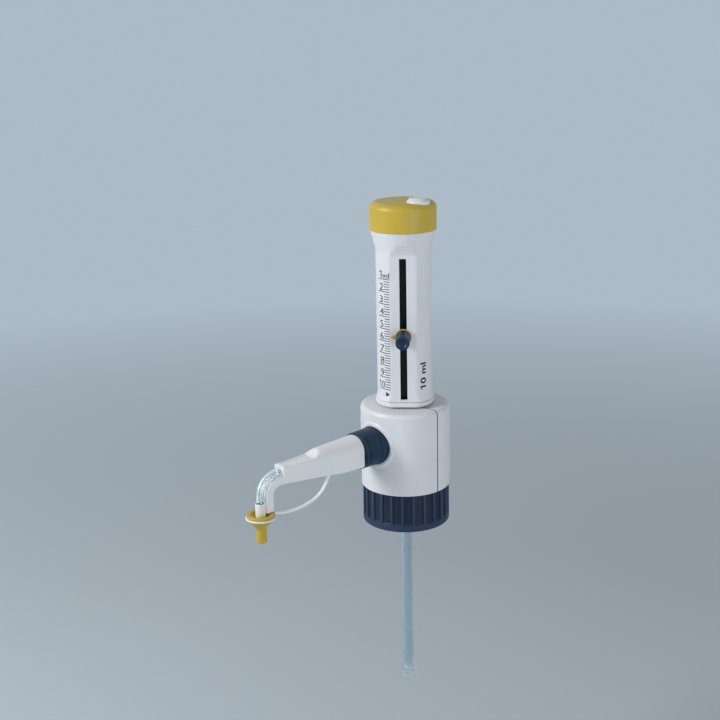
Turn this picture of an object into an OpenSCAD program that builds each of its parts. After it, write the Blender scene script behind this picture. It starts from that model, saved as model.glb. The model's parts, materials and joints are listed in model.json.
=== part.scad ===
// Bottle top dispenser: a hand pump that screws on a reagent bottle. Lifting the handle fills a
// glass cylinder through the filling tube, and pressing it down empties the cylinder through the
// spout. A pointer clamped in the handle's slot sets the volume.
//
// Frame: millimetres, +Z up, origin at the centre of the bottle nut's lower rim. The spout points
// along -X, the housing's seam lies in the YZ plane and the scale faces midway between -X and -Y.

/* [Bottle nut] */
// Diameter over the grip ribs
nut_d = 55.6; // [52:0.2:60]
// Height of the nut
nut_h = 24.2; // [20:0.2:30]
// Thickness of the inward flange at the nut's top
nut_top_t = 3; // [2:0.1:4]
// Wall between the thread's bore and the foot of the grip ribs
nut_wall = 4; // [2.6:0.1:5]
// Number of grip ribs
nut_ribs = 24; // [12:1:30]
// Width of one grip rib
nut_rib_w = 1.7; // [1:0.1:3]
// Height of the grip ribs above the nut's wall
nut_rib_h = 1.1; // [0.6:0.1:1.5]
// Height of the plain band under the ribs
nut_band_h = 5; // [3:0.5:8]
// Edge break at the nut's rims
nut_edge = 1; // [0.4:0.1:1.4]

/* [Valve block] */
// Thickness of the block's clamping flange
flange_t = 2.7; // [2:0.1:4]
// Thickness of the gasket on the bottle's lip
gasket_t = 2; // [1:0.1:3]
// Inner diameter of the gasket
gasket_hole_d = 29; // [24:0.5:32]
// Diameter of the neck that the nut turns on
neck_d = 34; // [31:0.5:38]
// Diameter of the block inside the housing
block_d = 30; // [28:0.5:34]
// Diameter of the collar that stands on the housing's floor
block_collar_d = 42; // [38:0.5:46]
// Height of that collar
block_collar_t = 3; // [2:0.1:5]
// Diameter of the liquid channels
channel_d = 3.6; // [2.4:0.1:4]
// Depth of the socket for the guide sleeve
sleeve_socket_l = 6; // [4:0.5:8]
// Depth of the socket for the glass cylinder
glass_socket_l = 6; // [4:0.5:8]
// Material between the discharge channel and the glass cylinder's socket
socket_floor_t = 1.7; // [1:0.1:3]

/* [Housing] */
// How far the housing stands out beyond the nut's ribs
housing_step = 0.5; // [0.2:0.1:2]
// Height of the housing
housing_h = 53.5; // [50:0.5:60]
// Wall of the housing
housing_wall = 2.5; // [1.8:0.1:3]
// Radius of the housing's top edge
housing_edge_r = 2.8; // [2:0.1:4]
// Width of the seam between the two shells
seam_w = 0.3; // [0.2:0.05:0.6]
// Wall of the round boss at the spout's port
boss_wall = 1.4; // [0.8:0.1:2]
// How far that boss stands out of the housing's round side
boss_rise = 0.7; // [0.4:0.1:1.2]

/* [Metering] */
// Bore of the glass cylinder
bore_d = 12.8; // [12.6:0.05:13.2]
// Wall of the glass cylinder
glass_wall = 1.8; // [1.2:0.1:2]
// Largest volume in millilitres
max_ml = 10; // [5:1:10]
// Volume that the pointer is set to in millilitres
set_ml = 5.6; // [2:0.1:9]
// Length of the piston
piston_l = 12; // [8:0.5:16]
// Diameter of the piston rod
rod_d = 8; // [6:0.5:9]
// Thickness of the seal under the glass cylinder
cylinder_seal_t = 1.5; // [1:0.1:2.5]
// Wall of the guide sleeve around the glass cylinder
sleeve_wall = 3.2; // [3:0.1:3.6]
// Width of the guide sleeve's groove
groove_w = 5.2; // [5:0.1:6]
// Depth of the guide sleeve's groove
groove_depth = 1.8; // [1.4:0.1:2]
// Height of the bush that guides the piston rod
rod_bush_h = 8; // [5:0.5:8]

/* [Handle] */
// Outer diameter of the handle
handle_d = 34.3; // [33.4:0.1:36]
// Wall of the handle
handle_wall = 1.8; // [1.4:0.1:2]
// Width of the handle's flat front
facet_w = 16.4; // [14:0.2:17]
// Width of the slot
slot_w = 4.3; // [3.6:0.1:4.6]
// Length of the slot below the largest volume
slot_low_end = 6.6; // [6:0.2:12]
// Length of the slot above the zero of the scale
slot_top_end = 5.1; // [2.6:0.1:6]
// Gap between the handle's foot and the housing
handle_gap = 1.2; // [0.6:0.1:3]
// Height of the lip ring at the handle's foot
lip_h = 3.1; // [2:0.1:5]
// How far the lip ring stands out of the handle
lip_out = 1.3; // [0.6:0.1:2]
// Height of the lip ring's spigot inside the handle
lip_spigot_h = 3; // [2:0.1:5]
// Diameter of the flare under the cap
flare_d = 40.6; // [38:0.2:41]
// Height of the flare
flare_h = 12.4; // [10:0.1:16]
// Thickness of the disc that carries the piston rod
carrier_t = 4; // [3:0.5:6]
// Outer diameter of the calibration nut
cal_nut_d = 13; // [11:0.5:16]
// Height of the calibration nut
cal_nut_h = 4; // [3:0.5:5]

/* [Top cap] */
// Diameter of the cap
cap_d = 41.3; // [41:0.1:44]
// Height of the cap
cap_h = 17.4; // [15:0.2:22]
// Wall of the cap
cap_wall = 2; // [1.4:0.1:2.4]
// Radius of the cap's top edge
cap_edge_r = 4.2; // [2:0.1:4.6]
// Diameter of the white cover on the cap
cover_d = 14; // [11:0.5:16]
// Height of the white cover above the cap
cover_h = 2.8; // [2:0.1:4]
// Distance of the white cover from the cap's centre
cover_offset = 12.2; // [8:0.1:12.4]

/* [Slider] */
// Diameter of the clamping knob at its foot
knob_d = 9.4; // [8:0.1:10.4]
// Diameter of the clamping knob at its end
knob_end_d = 8.6; // [7.6:0.1:10]
// Length of the clamping knob
knob_l = 15.5; // [10:0.5:18]
// Diameter of the pointer washer
washer_d = 10.1; // [9.6:0.1:12]
// Thickness of the pointer washer
washer_t = 1; // [0.6:0.1:1.6]
// Length of the pointer beyond the washer
pointer_l = 3; // [1.5:0.1:4]
// Diameter of the clamping stud
stud_d = 3; // [2.5:0.1:3.5]
// Height of the slider's carriage
carriage_h = 7.4; // [6:0.2:9]
// Width of the slider's clamping plate
plate_w = 8; // [6.5:0.5:9]

/* [Spout] */
// Height of the spout's axis above the housing's foot
port_rise = 31.6; // [30.5:0.1:33]
// Distance from the dispenser's axis to the tip's axis
reach = 119.9; // [112:0.1:130]
// Height of the tip cap's rim above the bottle nut's foot
tip_rim_z = 37.4; // [34:0.2:38]
// Outer diameter of the union nut
union_d = 24.1; // [23.4:0.1:25]
// Length of the union nut
union_l = 18; // [17.5:0.5:20]
// Width of the spout at its root
spout_w = 18.6; // [16:0.2:20]
// Height of the spout at its root
spout_h = 19.2; // [18:0.1:21]
// Width of the spout at its bend
spout_end_w = 8.6; // [8:0.2:10]
// Height of the spout at its bend
spout_end_h = 10.6; // [9.4:0.1:11]
// Outer diameter of the discharge tube
tube_d = 4.2; // [3.4:0.1:4.6]
// Bore of the discharge tube
tube_bore_d = 1.6; // [1:0.1:2.2]
// Bend radius of the discharge tube
bend_r = 13; // [12:0.5:14]
// Height of that bend's foot above the tip cap's rim
bend_rise = 9.4; // [8:0.1:11]
// Width of the curved arm
arm_w = 7.4; // [4:0.2:8]
// Thickness of the curved arm
arm_t = 5.6; // [4:0.2:6]
// Diameter of the clip that holds the tube at the tip
clip_d = 6; // [5.8:0.1:8]
// Height of the clip above the tip cap's rim
clip_h = 6.3; // [5:0.1:8]

/* [Valves] */
// Diameter of the inlet ball
inlet_ball_d = 4.8; // [4:0.1:5.2]
// Diameter of the discharge ball
outlet_ball_d = 4; // [3.4:0.1:4.4]
// How far each ball lifts off its seat
ball_lift = 1.5; // [1:0.1:2]
// Outer diameter of the inlet valve seat
inlet_seat_d = 14; // [12:0.5:16]
// Wire diameter of the discharge spring
wire_d = 0.5; // [0.4:0.05:0.7]
// Turns of the discharge spring
spring_turns = 6; // [4:1:7]

/* [Tip cap] */
// Diameter of the tip cap's rim
tip_cap_d = 17; // [15:0.2:18]
// Diameter of the tip cap's stem
tip_stem_d = 6.6; // [6:0.1:7.4]
// Length of the tip cap from rim to foot
tip_cap_l = 18.2; // [17:0.1:24]
// Thickness of the tip cap's rim
tip_rim_t = 1.7; // [1.4:0.1:3]
// Diameter of the strap
strap_d = 1.9; // [1.6:0.1:2.4]
// Thickness of the strap's ring around the tip cap
strap_ring_t = 1.1; // [0.8:0.1:1.6]
// Distance from the dispenser's axis to the strap's root
strap_x = 66; // [62:0.5:74]
// Radius of the strap's bend under the spout
strap_bend_r = 18; // [16:0.5:20]
// Radius of the strap's long bend to the tip cap
strap_sag_r = 52; // [46:1:60]

/* [Filling tube] */
// Outer diameter of the upper filling tube
fill_d = 6; // [5:0.1:6.4]
// Wall of the upper filling tube
fill_wall = 1; // [0.6:0.1:1.2]
// Wall of the lower filling tube
fill_outer_wall = 0.9; // [0.6:0.1:1.4]
// Length of the upper filling tube
fill_upper_l = 120; // [90:1:160]
// Length of the valve seat's spigot below the gasket
fill_spigot_l = 12; // [10:0.5:16]
// Length of that spigot inside the filling tube
fill_spigot_lap = 8; // [6:0.5:10]
// How far the lower filling tube reaches past the upper one
fill_tip_l = 6; // [4:0.5:12]
// Distance of the lower filling tube's top below the nut's foot
fill_gap = 2; // [1:0.5:6]

/* [Clearances] */
// Gap between faces that move past each other
run_gap = 0.3; // [0.2:0.05:0.5]
// Radial clearance of a shaft in its bush
bush_gap = 0.08; // [0.05:0.01:0.1]
// Radial clearance of a piece that is fitted in another
fit_gap = 0.05; // [0.02:0.01:0.1]

/* [Hidden] */
$fn = 64;
hull_fn = 32;
far = 200;

// The bottle's neck thread and the housing follow from the nut's outside
thread_d = nut_d - 2 * (nut_wall + nut_rib_h);
nut_turn = -5;
housing_d = nut_d + 2 * housing_step;

// Heights, from the bottle nut's foot upwards
nut_top_z = nut_h;
thread_top_z = nut_h - nut_top_t;
flange_top_z = thread_top_z - run_gap;
flange_z = flange_top_z - flange_t;
gasket_z = flange_z - gasket_t;
housing_z = nut_top_z + run_gap;
housing_top_z = housing_z + housing_h;
collar_z = housing_z + housing_wall;
port_z = housing_z + port_rise;
glass_socket_z = port_z + channel_d / 2 + socket_floor_t;
glass_z = glass_socket_z + cylinder_seal_t;
sleeve_z = glass_socket_z + glass_socket_l;
block_top_z = sleeve_z + sleeve_socket_l;

// Metering: travel for one millilitre follows from the bore
ml_travel = 1000 / (PI * pow(bore_d / 2, 2));
stroke = max_ml * ml_travel;
piston_z = glass_socket_z + run_gap;
piston_top_z = piston_z + piston_l;
piston_d = bore_d - 2 * fit_gap;
glass_d = bore_d + 2 * glass_wall;
sleeve_bore_d = glass_d + 2 * run_gap;
sleeve_d = sleeve_bore_d + 2 * sleeve_wall;

// Handle: the slot holds the whole scale, and the flare starts above it
facet_out = sqrt(pow(handle_d / 2, 2) - pow(facet_w / 2, 2));
facet_in = facet_out - handle_wall;
lip_z = housing_top_z + handle_gap;
handle_z = lip_z + lip_h;
slot_foot = 1.4;
slot_z = handle_z + slot_foot;
zero_z = slot_z + slot_low_end + stroke;
slot_top_z = zero_z + slot_top_end;
sleeve_over = 0.5;
sleeve_top_z = slot_top_z + sleeve_over;
glass_top_z = sleeve_top_z - rod_bush_h;
flare_foot = 3.4;
flare_z = slot_top_z + flare_foot;
cap_z = flare_z + flare_h;
carrier_drop = 7;
carrier_z = cap_z - carrier_drop;
carrier_seat = 1.7;
carrier_d = flare_d - 2 * handle_wall - 2 * carrier_seat;
spigot_h = 7;
spigot_d = cap_d - 2 * cap_wall - 2 * fit_gap;
rod_end_proud = 1;
rod_end_z = carrier_z + carrier_t + cal_nut_h + rod_end_proud;
rod_shoulder = 1;
rod_thread_d = rod_d - 2 * rod_shoulder;
cap_top_z = cap_z + cap_h;
scale_turn = 223;
cover_turn = 275;
cover_recess = 2;
cover_floor_t = 1.2;
cover_z = cap_top_z - cover_recess;
cap_roof_z = cover_z - cover_floor_t;
foot_flare = 0.9;
foot_flare_h = 3.6;

// Slider: the pointer's height follows from the set volume
set_z = zero_z - set_ml * ml_travel;
foot_in = sleeve_d / 2 - groove_depth + run_gap;
plate_in = sleeve_d / 2 + run_gap;
plate_out = facet_in - fit_gap;
carriage_w = slot_w - 2 * bush_gap;
knob_seat = facet_out + fit_gap + washer_t + fit_gap;
knob_end_wall = 2;
stud_end = knob_seat + knob_l - knob_end_wall;

// Spout: distances along the port's axis from the dispenser's axis
port_bore_in = 12;
port_seal_t = 1.2;
valve_in = port_bore_in + port_seal_t;
boss_out = 24;
port_bore_d = 11;
port_channel_step = 0.4;
port_channel_d = channel_d - 2 * port_channel_step;
valve_thread_d = 18;
valve_out = 40;
spout_flange_in = valve_out + fit_gap;
spout_flange_t = 2;
spout_flange_d = valve_thread_d - 1;
union_in = 26;
union_out = union_in + union_l;
union_wall_in = spout_flange_in + spout_flange_t + run_gap;
spout_neck_d = 13.6;
spout_root = union_out + run_gap;
spout_knee = 60;
spout_step = 75.5;
spout_step_l = 4.5;
spout_end_gap = 2;
spout_end = reach - bend_r - spout_end_gap;
spout_lift = 1.2;
spout_top_z = port_z + spout_h / 2 + spout_lift;
spout_foot_z = spout_top_z - spout_h;

// Bend: the tube leaves the valve on a slight rise and turns down about the bend's centre
bend_x = reach - bend_r;
bend_z = tip_rim_z + bend_rise;
tube_in = spout_flange_in;
tube_run = bend_x - tube_in;
tube_drop = port_z - bend_z;
tube_rise = asin(bend_r / norm([tube_run, tube_drop])) - atan2(tube_drop, tube_run);
tube_straight = norm([tube_run, tube_drop]) * cos(tube_rise + atan2(tube_drop, tube_run));
arm_r = bend_r - tube_d / 2 - arm_t;
spout_end_foot_z = bend_z + arm_r;
spout_end_top_z = spout_end_foot_z + spout_end_h;
tip_foot_z = tip_rim_z - tip_cap_l;
stem_floor_t = 2;
tube_end_gap = 1;
tube_end_z = tip_foot_z + stem_floor_t + tube_end_gap;
clip_in = 3;

// Tip cap: rim, strap groove, lower lip, cone and stem from the top down
rim_wall = 2.2;
groove_t = strap_ring_t + 2 * fit_gap;
groove_top_z = tip_rim_z - tip_rim_t;
groove_foot_z = groove_top_z - groove_t;
groove_in = 1;
groove_d = tip_cap_d - 2 * groove_in;
tip_lip_t = 0.8;
tip_lip_in = 0.6;
cone_top_z = groove_foot_z - tip_lip_t;
cone_h = 5.2;
cone_foot_z = cone_top_z - cone_h;
strap_z = groove_top_z - groove_t / 2;
strap_ring_in = groove_d / 2 + fit_gap;
strap_ring_proud = 0.45;
strap_ring_out = tip_cap_d / 2 + strap_ring_proud;
strap_lug_l = 1.4;
strap_end_r = strap_ring_out + strap_lug_l / 3;
strap_peg_step = 0.6;
strap_peg_d = strap_d + 2 * strap_peg_step;
strap_peg_l = 4.5;
strap_root_z = spout_foot_z + strap_peg_l;
strap_turn = 74;
strap_sag_x = strap_x + strap_bend_r + (strap_sag_r - strap_bend_r) * cos(strap_turn);
strap_end_turn = acos((strap_sag_x - reach + strap_end_r) / strap_sag_r);
strap_sag_z = strap_z + strap_sag_r * sin(strap_end_turn);
strap_arc_z = strap_sag_z - (strap_sag_r - strap_bend_r) * sin(strap_turn);

// Valves: each ball rests in a 45 degree seat
seat_gap = 0.02;
inlet_bore_d = 2.4;
inlet_head_t = 4.2;
inlet_head_d = 18;
inlet_seat_rise = 7.8;
inlet_seat_z = flange_z + inlet_seat_rise;
inlet_ball_z = inlet_seat_z - inlet_bore_d / 2 + sqrt(2) * (inlet_ball_d / 2 + seat_gap);
inlet_room_d = inlet_ball_d + 1.6;
inlet_seat_top_z = inlet_ball_z + inlet_ball_d / 2 + ball_lift + fit_gap;
outlet_bore_d = 2.2;
outlet_seat = valve_in + 4.8;
outlet_ball = outlet_seat - outlet_bore_d / 2 + sqrt(2) * (outlet_ball_d / 2 + seat_gap);
outlet_room_d = outlet_ball_d + 2;
retainer_l = 6;
spring_in = outlet_ball + outlet_ball_d / 2 + fit_gap;
spring_out = valve_out - retainer_l - fit_gap;
spring_r = 1.7;

// Filling tube: the lower tube slides over the upper one
spigot_z = gasket_z - fill_spigot_l;
fill_top_z = spigot_z + fill_spigot_lap;
fill_foot_z = fill_top_z - fill_upper_l;
fill_bore_d = fill_d - 2 * fill_wall;
fill_outer_bore_d = fill_d + 2 * bush_gap;
fill_outer_d = fill_outer_bore_d + 2 * fill_outer_wall;
fill_lower_top_z = -fill_gap;
fill_lower_foot_z = fill_foot_z - fill_tip_l;

white_plastic = "#e4e6ea";
navy_plastic = "#1b2440";
black_plastic = "#15181c";
yellow_plastic = "#d9b62c";
clear_plastic = [0.86, 0.91, 0.95, 0.5];
milky_plastic = "#eef0ee";
clear_glass = [0.80, 0.90, 0.92, 0.4];
ceramic = "#f3efe4";
steel = "#b8bcc2";
seal_grey = "#8c9096";

// A tube standing on z0
module pipe(d, bore, z0, z1) {
    rotate_extrude() translate([bore / 2, z0]) square([(d - bore) / 2, z1 - z0]);
}

// A solid round standing on z0
module round_bar(d, z0, z1) {
    translate([0, 0, z0]) cylinder(d = d, h = z1 - z0);
}

// Children drawn along the port's axis: their Z runs out along the spout and their X upwards
module at_port() {
    translate([0, 0, port_z]) rotate([0, -90, 0]) children();
}

// Children drawn with +X out of the handle's flat front
module at_scale() {
    rotate([0, 0, scale_turn]) children();
}

// Section of the handle: a circle with one flat
module handle_section(r, flat) {
    intersection() {
        circle(r = r);
        translate([-far, -far]) square([far + flat, 2 * far]);
    }
}

// Profile of a round body with a rounded top edge, to be revolved
module edged_profile(r, z0, z1, edge) {
    translate([0, z0]) square([r, z1 - z0 - edge]);
    translate([0, z1 - edge]) square([r - edge, edge]);
    translate([r - edge, z1 - edge]) circle(r = edge);
}

module bottle_nut() {
    wall_d = nut_d - 2 * nut_rib_h;
    color(navy_plastic) difference() {
        union() {
            cylinder(d = wall_d, h = nut_h);
            translate([0, 0, nut_edge]) cylinder(d = nut_d, h = nut_band_h - nut_edge);
            cylinder(d1 = nut_d - 2 * nut_edge, d2 = nut_d, h = nut_edge);
            intersection() {
                cylinder(d = nut_d, h = nut_h - nut_edge / 2);
                for (i = [0 : nut_ribs - 1])
                    rotate([0, 0, nut_turn + i * 360 / nut_ribs])
                        translate([wall_d / 2 - 1, -nut_rib_w / 2, nut_edge])
                            cube([nut_rib_h + 2, nut_rib_w, nut_h]);
            }
        }
        translate([0, 0, -1]) cylinder(d = thread_d, h = thread_top_z + 1);
        cylinder(d = neck_d + 2 * bush_gap, h = nut_h + 1);
    }
}

module valve_block() {
    flange_d = thread_d - 2 * run_gap;
    glass_socket_d = glass_d + 2 * fit_gap;
    sleeve_socket_d = sleeve_d + 2 * fit_gap;
    relief_w = 1.4;
    relief_depth = 2;
    color(milky_plastic) difference() {
        union() {
            round_bar(flange_d, flange_z, flange_top_z);
            round_bar(neck_d, flange_z, collar_z);
            round_bar(block_collar_d, collar_z, collar_z + block_collar_t);
            round_bar(block_d, collar_z, block_top_z);
            at_port() cylinder(d = valve_thread_d + 0.6, h = boss_out);
        }
        round_bar(inlet_seat_d + 2 * fit_gap, flange_z - 1, inlet_seat_top_z);
        round_bar(channel_d, flange_z, glass_socket_z + 1);
        translate([-inlet_room_d / 2, -relief_w / 2, inlet_seat_top_z - 1])
            cube([inlet_room_d, relief_w, relief_depth + 1]);
        round_bar(glass_socket_d, glass_socket_z, block_top_z);
        round_bar(sleeve_socket_d, sleeve_z, block_top_z + 1);
        at_port() cylinder(d = port_channel_d, h = boss_out);
        at_port() translate([0, 0, port_bore_in]) cylinder(d = port_bore_d, h = boss_out);
    }
}

module neck_gasket() {
    color(seal_grey) pipe(thread_d - 4 * run_gap, gasket_hole_d, gasket_z, flange_z);
}

// Both shells in one piece, before the seam is cut
module housing_shell() {
    port_hole_d = union_d + 2 * run_gap;
    boss_d = port_hole_d + 2 * boss_wall;
    inner_edge = 0.35 * housing_edge_r;
    difference() {
        union() {
            rotate_extrude() edged_profile(housing_d / 2, housing_z, housing_top_z, housing_edge_r);
            intersection() {
                at_port() cylinder(d = boss_d, h = housing_d);
                round_bar(housing_d + 2 * boss_rise, housing_z, housing_top_z);
            }
        }
        rotate_extrude()
            edged_profile(housing_d / 2 - housing_wall, collar_z, housing_top_z - housing_wall, inner_edge);
        round_bar(neck_d + 2 * run_gap, housing_z - 1, collar_z + 1);
        round_bar(sleeve_d + 2 * run_gap, housing_top_z - housing_wall - 1, housing_top_z + 1);
        at_port() cylinder(d = port_hole_d, h = housing_d);
    }
}

module housing_front() {
    color(white_plastic) intersection() {
        housing_shell();
        translate([-far, -far, 0]) cube([far - seam_w / 2, 2 * far, far]);
    }
}

module housing_rear() {
    color(white_plastic) intersection() {
        housing_shell();
        translate([seam_w / 2, -far, 0]) cube([far, 2 * far, far]);
    }
}

module inlet_valve_seat() {
    spigot_d = fill_bore_d - 2 * fit_gap;
    color(milky_plastic) difference() {
        union() {
            round_bar(inlet_seat_d, flange_z - 1, inlet_seat_top_z);
            round_bar(inlet_head_d, flange_z - inlet_head_t, flange_z);
            round_bar(spigot_d, spigot_z, flange_z);
        }
        round_bar(inlet_bore_d, spigot_z - 1, inlet_seat_z + 1);
        translate([0, 0, inlet_seat_z])
            cylinder(d1 = inlet_bore_d, d2 = inlet_room_d, h = (inlet_room_d - inlet_bore_d) / 2);
        round_bar(inlet_room_d, inlet_seat_z + (inlet_room_d - inlet_bore_d) / 2, inlet_seat_top_z + 1);
    }
}

module inlet_ball() {
    color(ceramic) translate([0, 0, inlet_ball_z]) sphere(d = inlet_ball_d);
}

module glass_cylinder() {
    color(clear_glass) pipe(glass_d, bore_d, glass_z, glass_top_z);
}

module cylinder_seal() {
    color(seal_grey) pipe(glass_d, bore_d, glass_socket_z, glass_z);
}

module guide_sleeve() {
    color(black_plastic) difference() {
        pipe(sleeve_d, sleeve_bore_d, sleeve_z, sleeve_top_z);
        at_scale() translate([sleeve_d / 2 - groove_depth, -groove_w / 2, handle_z])
            cube([groove_depth + 1, groove_w, far]);
    }
}

module rod_bush() {
    color(milky_plastic)
        pipe(sleeve_bore_d - 2 * fit_gap, rod_d + 2 * bush_gap, glass_top_z, sleeve_top_z);
}

module piston() {
    lip_h = 2.5;
    waist_d = piston_d - 0.8;
    color("white") difference() {
        union() {
            round_bar(waist_d, piston_z, piston_top_z);
            round_bar(piston_d, piston_z, piston_z + lip_h);
            round_bar(piston_d, piston_top_z - lip_h, piston_top_z);
        }
        round_bar(rod_thread_d, piston_top_z - piston_l / 2, piston_top_z + 1);
    }
}

module piston_rod() {
    screw_d = rod_thread_d - 2 * fit_gap;
    color(steel) union() {
        round_bar(screw_d, piston_top_z - piston_l / 2, rod_end_z);
        round_bar(rod_d, piston_top_z, carrier_z);
    }
}

module rod_carrier() {
    color(black_plastic) pipe(carrier_d - 2 * fit_gap, rod_thread_d, carrier_z, carrier_z + carrier_t);
}

module calibration_nut() {
    slot_t = 1.6;
    nut_z = carrier_z + carrier_t;
    color(steel) difference() {
        pipe(cal_nut_d, rod_thread_d, nut_z, nut_z + cal_nut_h);
        translate([-cal_nut_d, -slot_t / 2, nut_z + cal_nut_h / 2])
            cube([2 * cal_nut_d, slot_t, cal_nut_h]);
    }
}

// The flat front, which runs out to nothing on the flare
module facet_cut() {
    fade_h = 9;
    fade_out = 4.5;
    fade_z = flare_z - 2;
    at_scale() translate([0, far, 0]) rotate([90, 0, 0]) linear_extrude(2 * far)
        polygon([
            [facet_out, handle_z - 1],
            [far, handle_z - 1],
            [far, fade_z + fade_h],
            [facet_out + fade_out, fade_z + fade_h],
            [facet_out, fade_z]
        ]);
}

module handle_tube() {
    bore_r = handle_d / 2 - handle_wall;
    color(white_plastic) difference() {
        union() {
            round_bar(handle_d, handle_z, flare_z);
            translate([0, 0, handle_z])
                cylinder(d1 = handle_d + 2 * foot_flare, d2 = handle_d, h = foot_flare_h);
            translate([0, 0, flare_z]) cylinder(d1 = handle_d, d2 = flare_d, h = flare_h);
            round_bar(spigot_d, cap_z - 1, cap_z + spigot_h);
        }
        facet_cut();
        at_scale() translate([0, 0, handle_z - 1]) linear_extrude(carrier_z - handle_z + 2)
            handle_section(bore_r, facet_in);
        round_bar(carrier_d, carrier_z, cap_z + spigot_h + 1);
        at_scale() translate([0, -slot_w / 2, slot_z]) cube([far, slot_w, slot_top_z - slot_z]);
    }
}

module guide_ring() {
    lip_r = handle_d / 2 + lip_out;
    color(white_plastic) difference() {
        at_scale() union() {
            translate([0, 0, lip_z]) linear_extrude(lip_h)
                handle_section(lip_r, facet_out + lip_out);
            translate([0, 0, handle_z]) linear_extrude(lip_spigot_h)
                handle_section(handle_d / 2 - handle_wall - fit_gap, facet_in - fit_gap);
        }
        round_bar(sleeve_d + 2 * bush_gap, lip_z - 1, handle_z + lip_spigot_h + 1);
        at_scale() translate([sleeve_d / 2 - 1, -groove_w / 2, handle_z]) cube([far, groove_w, far]);
    }
}

// The cover's place on the top cap
module at_cover() {
    rotate([0, 0, cover_turn]) translate([cover_offset, 0, 0]) children();
}

module top_cap() {
    color(yellow_plastic) difference() {
        rotate_extrude() edged_profile(cap_d / 2, cap_z, cap_top_z, cap_edge_r);
        round_bar(cap_d - 2 * cap_wall, cap_z - 1, cap_roof_z);
        at_cover() round_bar(cover_d + 2 * fit_gap, cover_z, cap_top_z + 1);
    }
}

module calibration_cover() {
    bevel = 2.2;
    bevel_h = 1.8;
    bevel_z = cap_top_z + cover_h - bevel_h;
    color(white_plastic) at_cover() union() {
        round_bar(cover_d, cover_z, bevel_z);
        translate([0, 0, bevel_z]) cylinder(d1 = cover_d, d2 = cover_d - 2 * bevel, h = bevel_h);
    }
}

// Children drawn at the set volume, with +X out of the handle's flat front
module at_set() {
    translate([0, 0, set_z]) at_scale() children();
}

module stop_slider() {
    color(black_plastic) at_set() union() {
        translate([foot_in, -carriage_w / 2, -carriage_h / 2])
            cube([plate_in - foot_in + 0.1, carriage_w, carriage_h]);
        translate([plate_in, -plate_w / 2, -carriage_h / 2])
            cube([plate_out - plate_in, plate_w, carriage_h]);
        translate([plate_in, -carriage_w / 2, -carriage_w / 2])
            cube([facet_out - plate_in, carriage_w, carriage_w]);
        rotate([0, 90, 0]) round_bar(stud_d, plate_in, stud_end);
    }
}

module pointer_washer() {
    seat = facet_out + fit_gap;
    root = washer_d / 2 - 1.2;
    color(yellow_plastic) at_set() rotate([0, 90, 0]) translate([0, 0, seat]) difference() {
        union() {
            cylinder(d = washer_d, h = washer_t);
            linear_extrude(washer_t)
                polygon([[-2.2, -root], [2.2, -root], [0, -washer_d / 2 - pointer_l]]);
        }
        translate([0, 0, -1]) cylinder(d = stud_d + 2 * bush_gap, h = washer_t + 2);
    }
}

module slider_knob() {
    edge = 0.8;
    end = knob_seat + knob_l;
    color(navy_plastic) at_set() rotate([0, 90, 0]) difference() {
        rotate_extrude() polygon([
            [0, knob_seat],
            [knob_d / 2, knob_seat],
            [knob_end_d / 2, end - edge],
            [knob_end_d / 2 - edge, end],
            [0, end]
        ]);
        round_bar(stud_d + 2 * bush_gap, knob_seat - 1, stud_end + fit_gap);
    }
}

module port_seal() {
    color(seal_grey) at_port() pipe(port_bore_d - 4 * fit_gap, channel_d, port_bore_in, valve_in);
}

module discharge_valve_body() {
    color(milky_plastic) at_port() difference() {
        union() {
            round_bar(port_bore_d - 2 * fit_gap, valve_in, boss_out);
            round_bar(valve_thread_d, boss_out, valve_out);
        }
        round_bar(outlet_bore_d, valve_in - 1, outlet_seat + 1);
        translate([0, 0, outlet_seat])
            cylinder(d1 = outlet_bore_d, d2 = outlet_room_d, h = (outlet_room_d - outlet_bore_d) / 2);
        round_bar(outlet_room_d, outlet_seat + (outlet_room_d - outlet_bore_d) / 2, valve_out + 1);
    }
}

module discharge_ball() {
    color(ceramic) at_port() translate([0, 0, outlet_ball]) sphere(d = outlet_ball_d);
}

// Ring of the spring's wire at step i of the winding, which closes flat at both ends
function spring_ring(i, steps, sides) =
    let (
        turn = i / steps * spring_turns,
        pitch_l = spring_out - spring_in - wire_d,
        a = 360 * turn,
        z = spring_in + wire_d / 2 + pitch_l * i / steps
    )
    [for (k = [0 : sides - 1])
        let (b = 360 * k / sides, r = spring_r + wire_d / 2 * cos(b))
        [r * cos(a), r * sin(a), z + wire_d / 2 * sin(b)]];

module discharge_spring() {
    sides = 6;
    steps = 8 * spring_turns;
    points = [for (i = [0 : steps]) each spring_ring(i, steps, sides)];
    start = [[for (k = [0 : sides - 1]) k]];
    end = [[for (k = [sides - 1 : -1 : 0]) steps * sides + k]];
    skin = [for (i = [0 : steps - 1], k = [0 : sides - 1])
        let (n = (k + 1) % sides, a = i * sides, b = a + sides)
        each [[a + k, b + k, b + n], [a + k, b + n, a + n]]];
    color(steel) at_port() polyhedron(points, concat(start, skin, end));
}

module spring_retainer() {
    color(milky_plastic) at_port()
        pipe(outlet_room_d - 2 * fit_gap, tube_bore_d, valve_out - retainer_l, valve_out);
}

module union_nut() {
    taper = 0.5;
    line_w = 0.7;
    line_depth = 0.4;
    line_in = 5.6;
    line_out = 3;
    color(navy_plastic) at_port() difference() {
        translate([0, 0, union_in]) cylinder(d1 = union_d, d2 = union_d - 2 * taper, h = union_l);
        round_bar(valve_thread_d + 2 * bush_gap, union_in - 1, union_wall_in);
        round_bar(spout_neck_d + 2 * run_gap, union_in, union_out + 1);
        for (line = [union_in + line_in, union_out - line_out])
            pipe(union_d + 2, union_d - 2 * taper - 2 * line_depth, line, line + line_w);
    }
}

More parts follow.
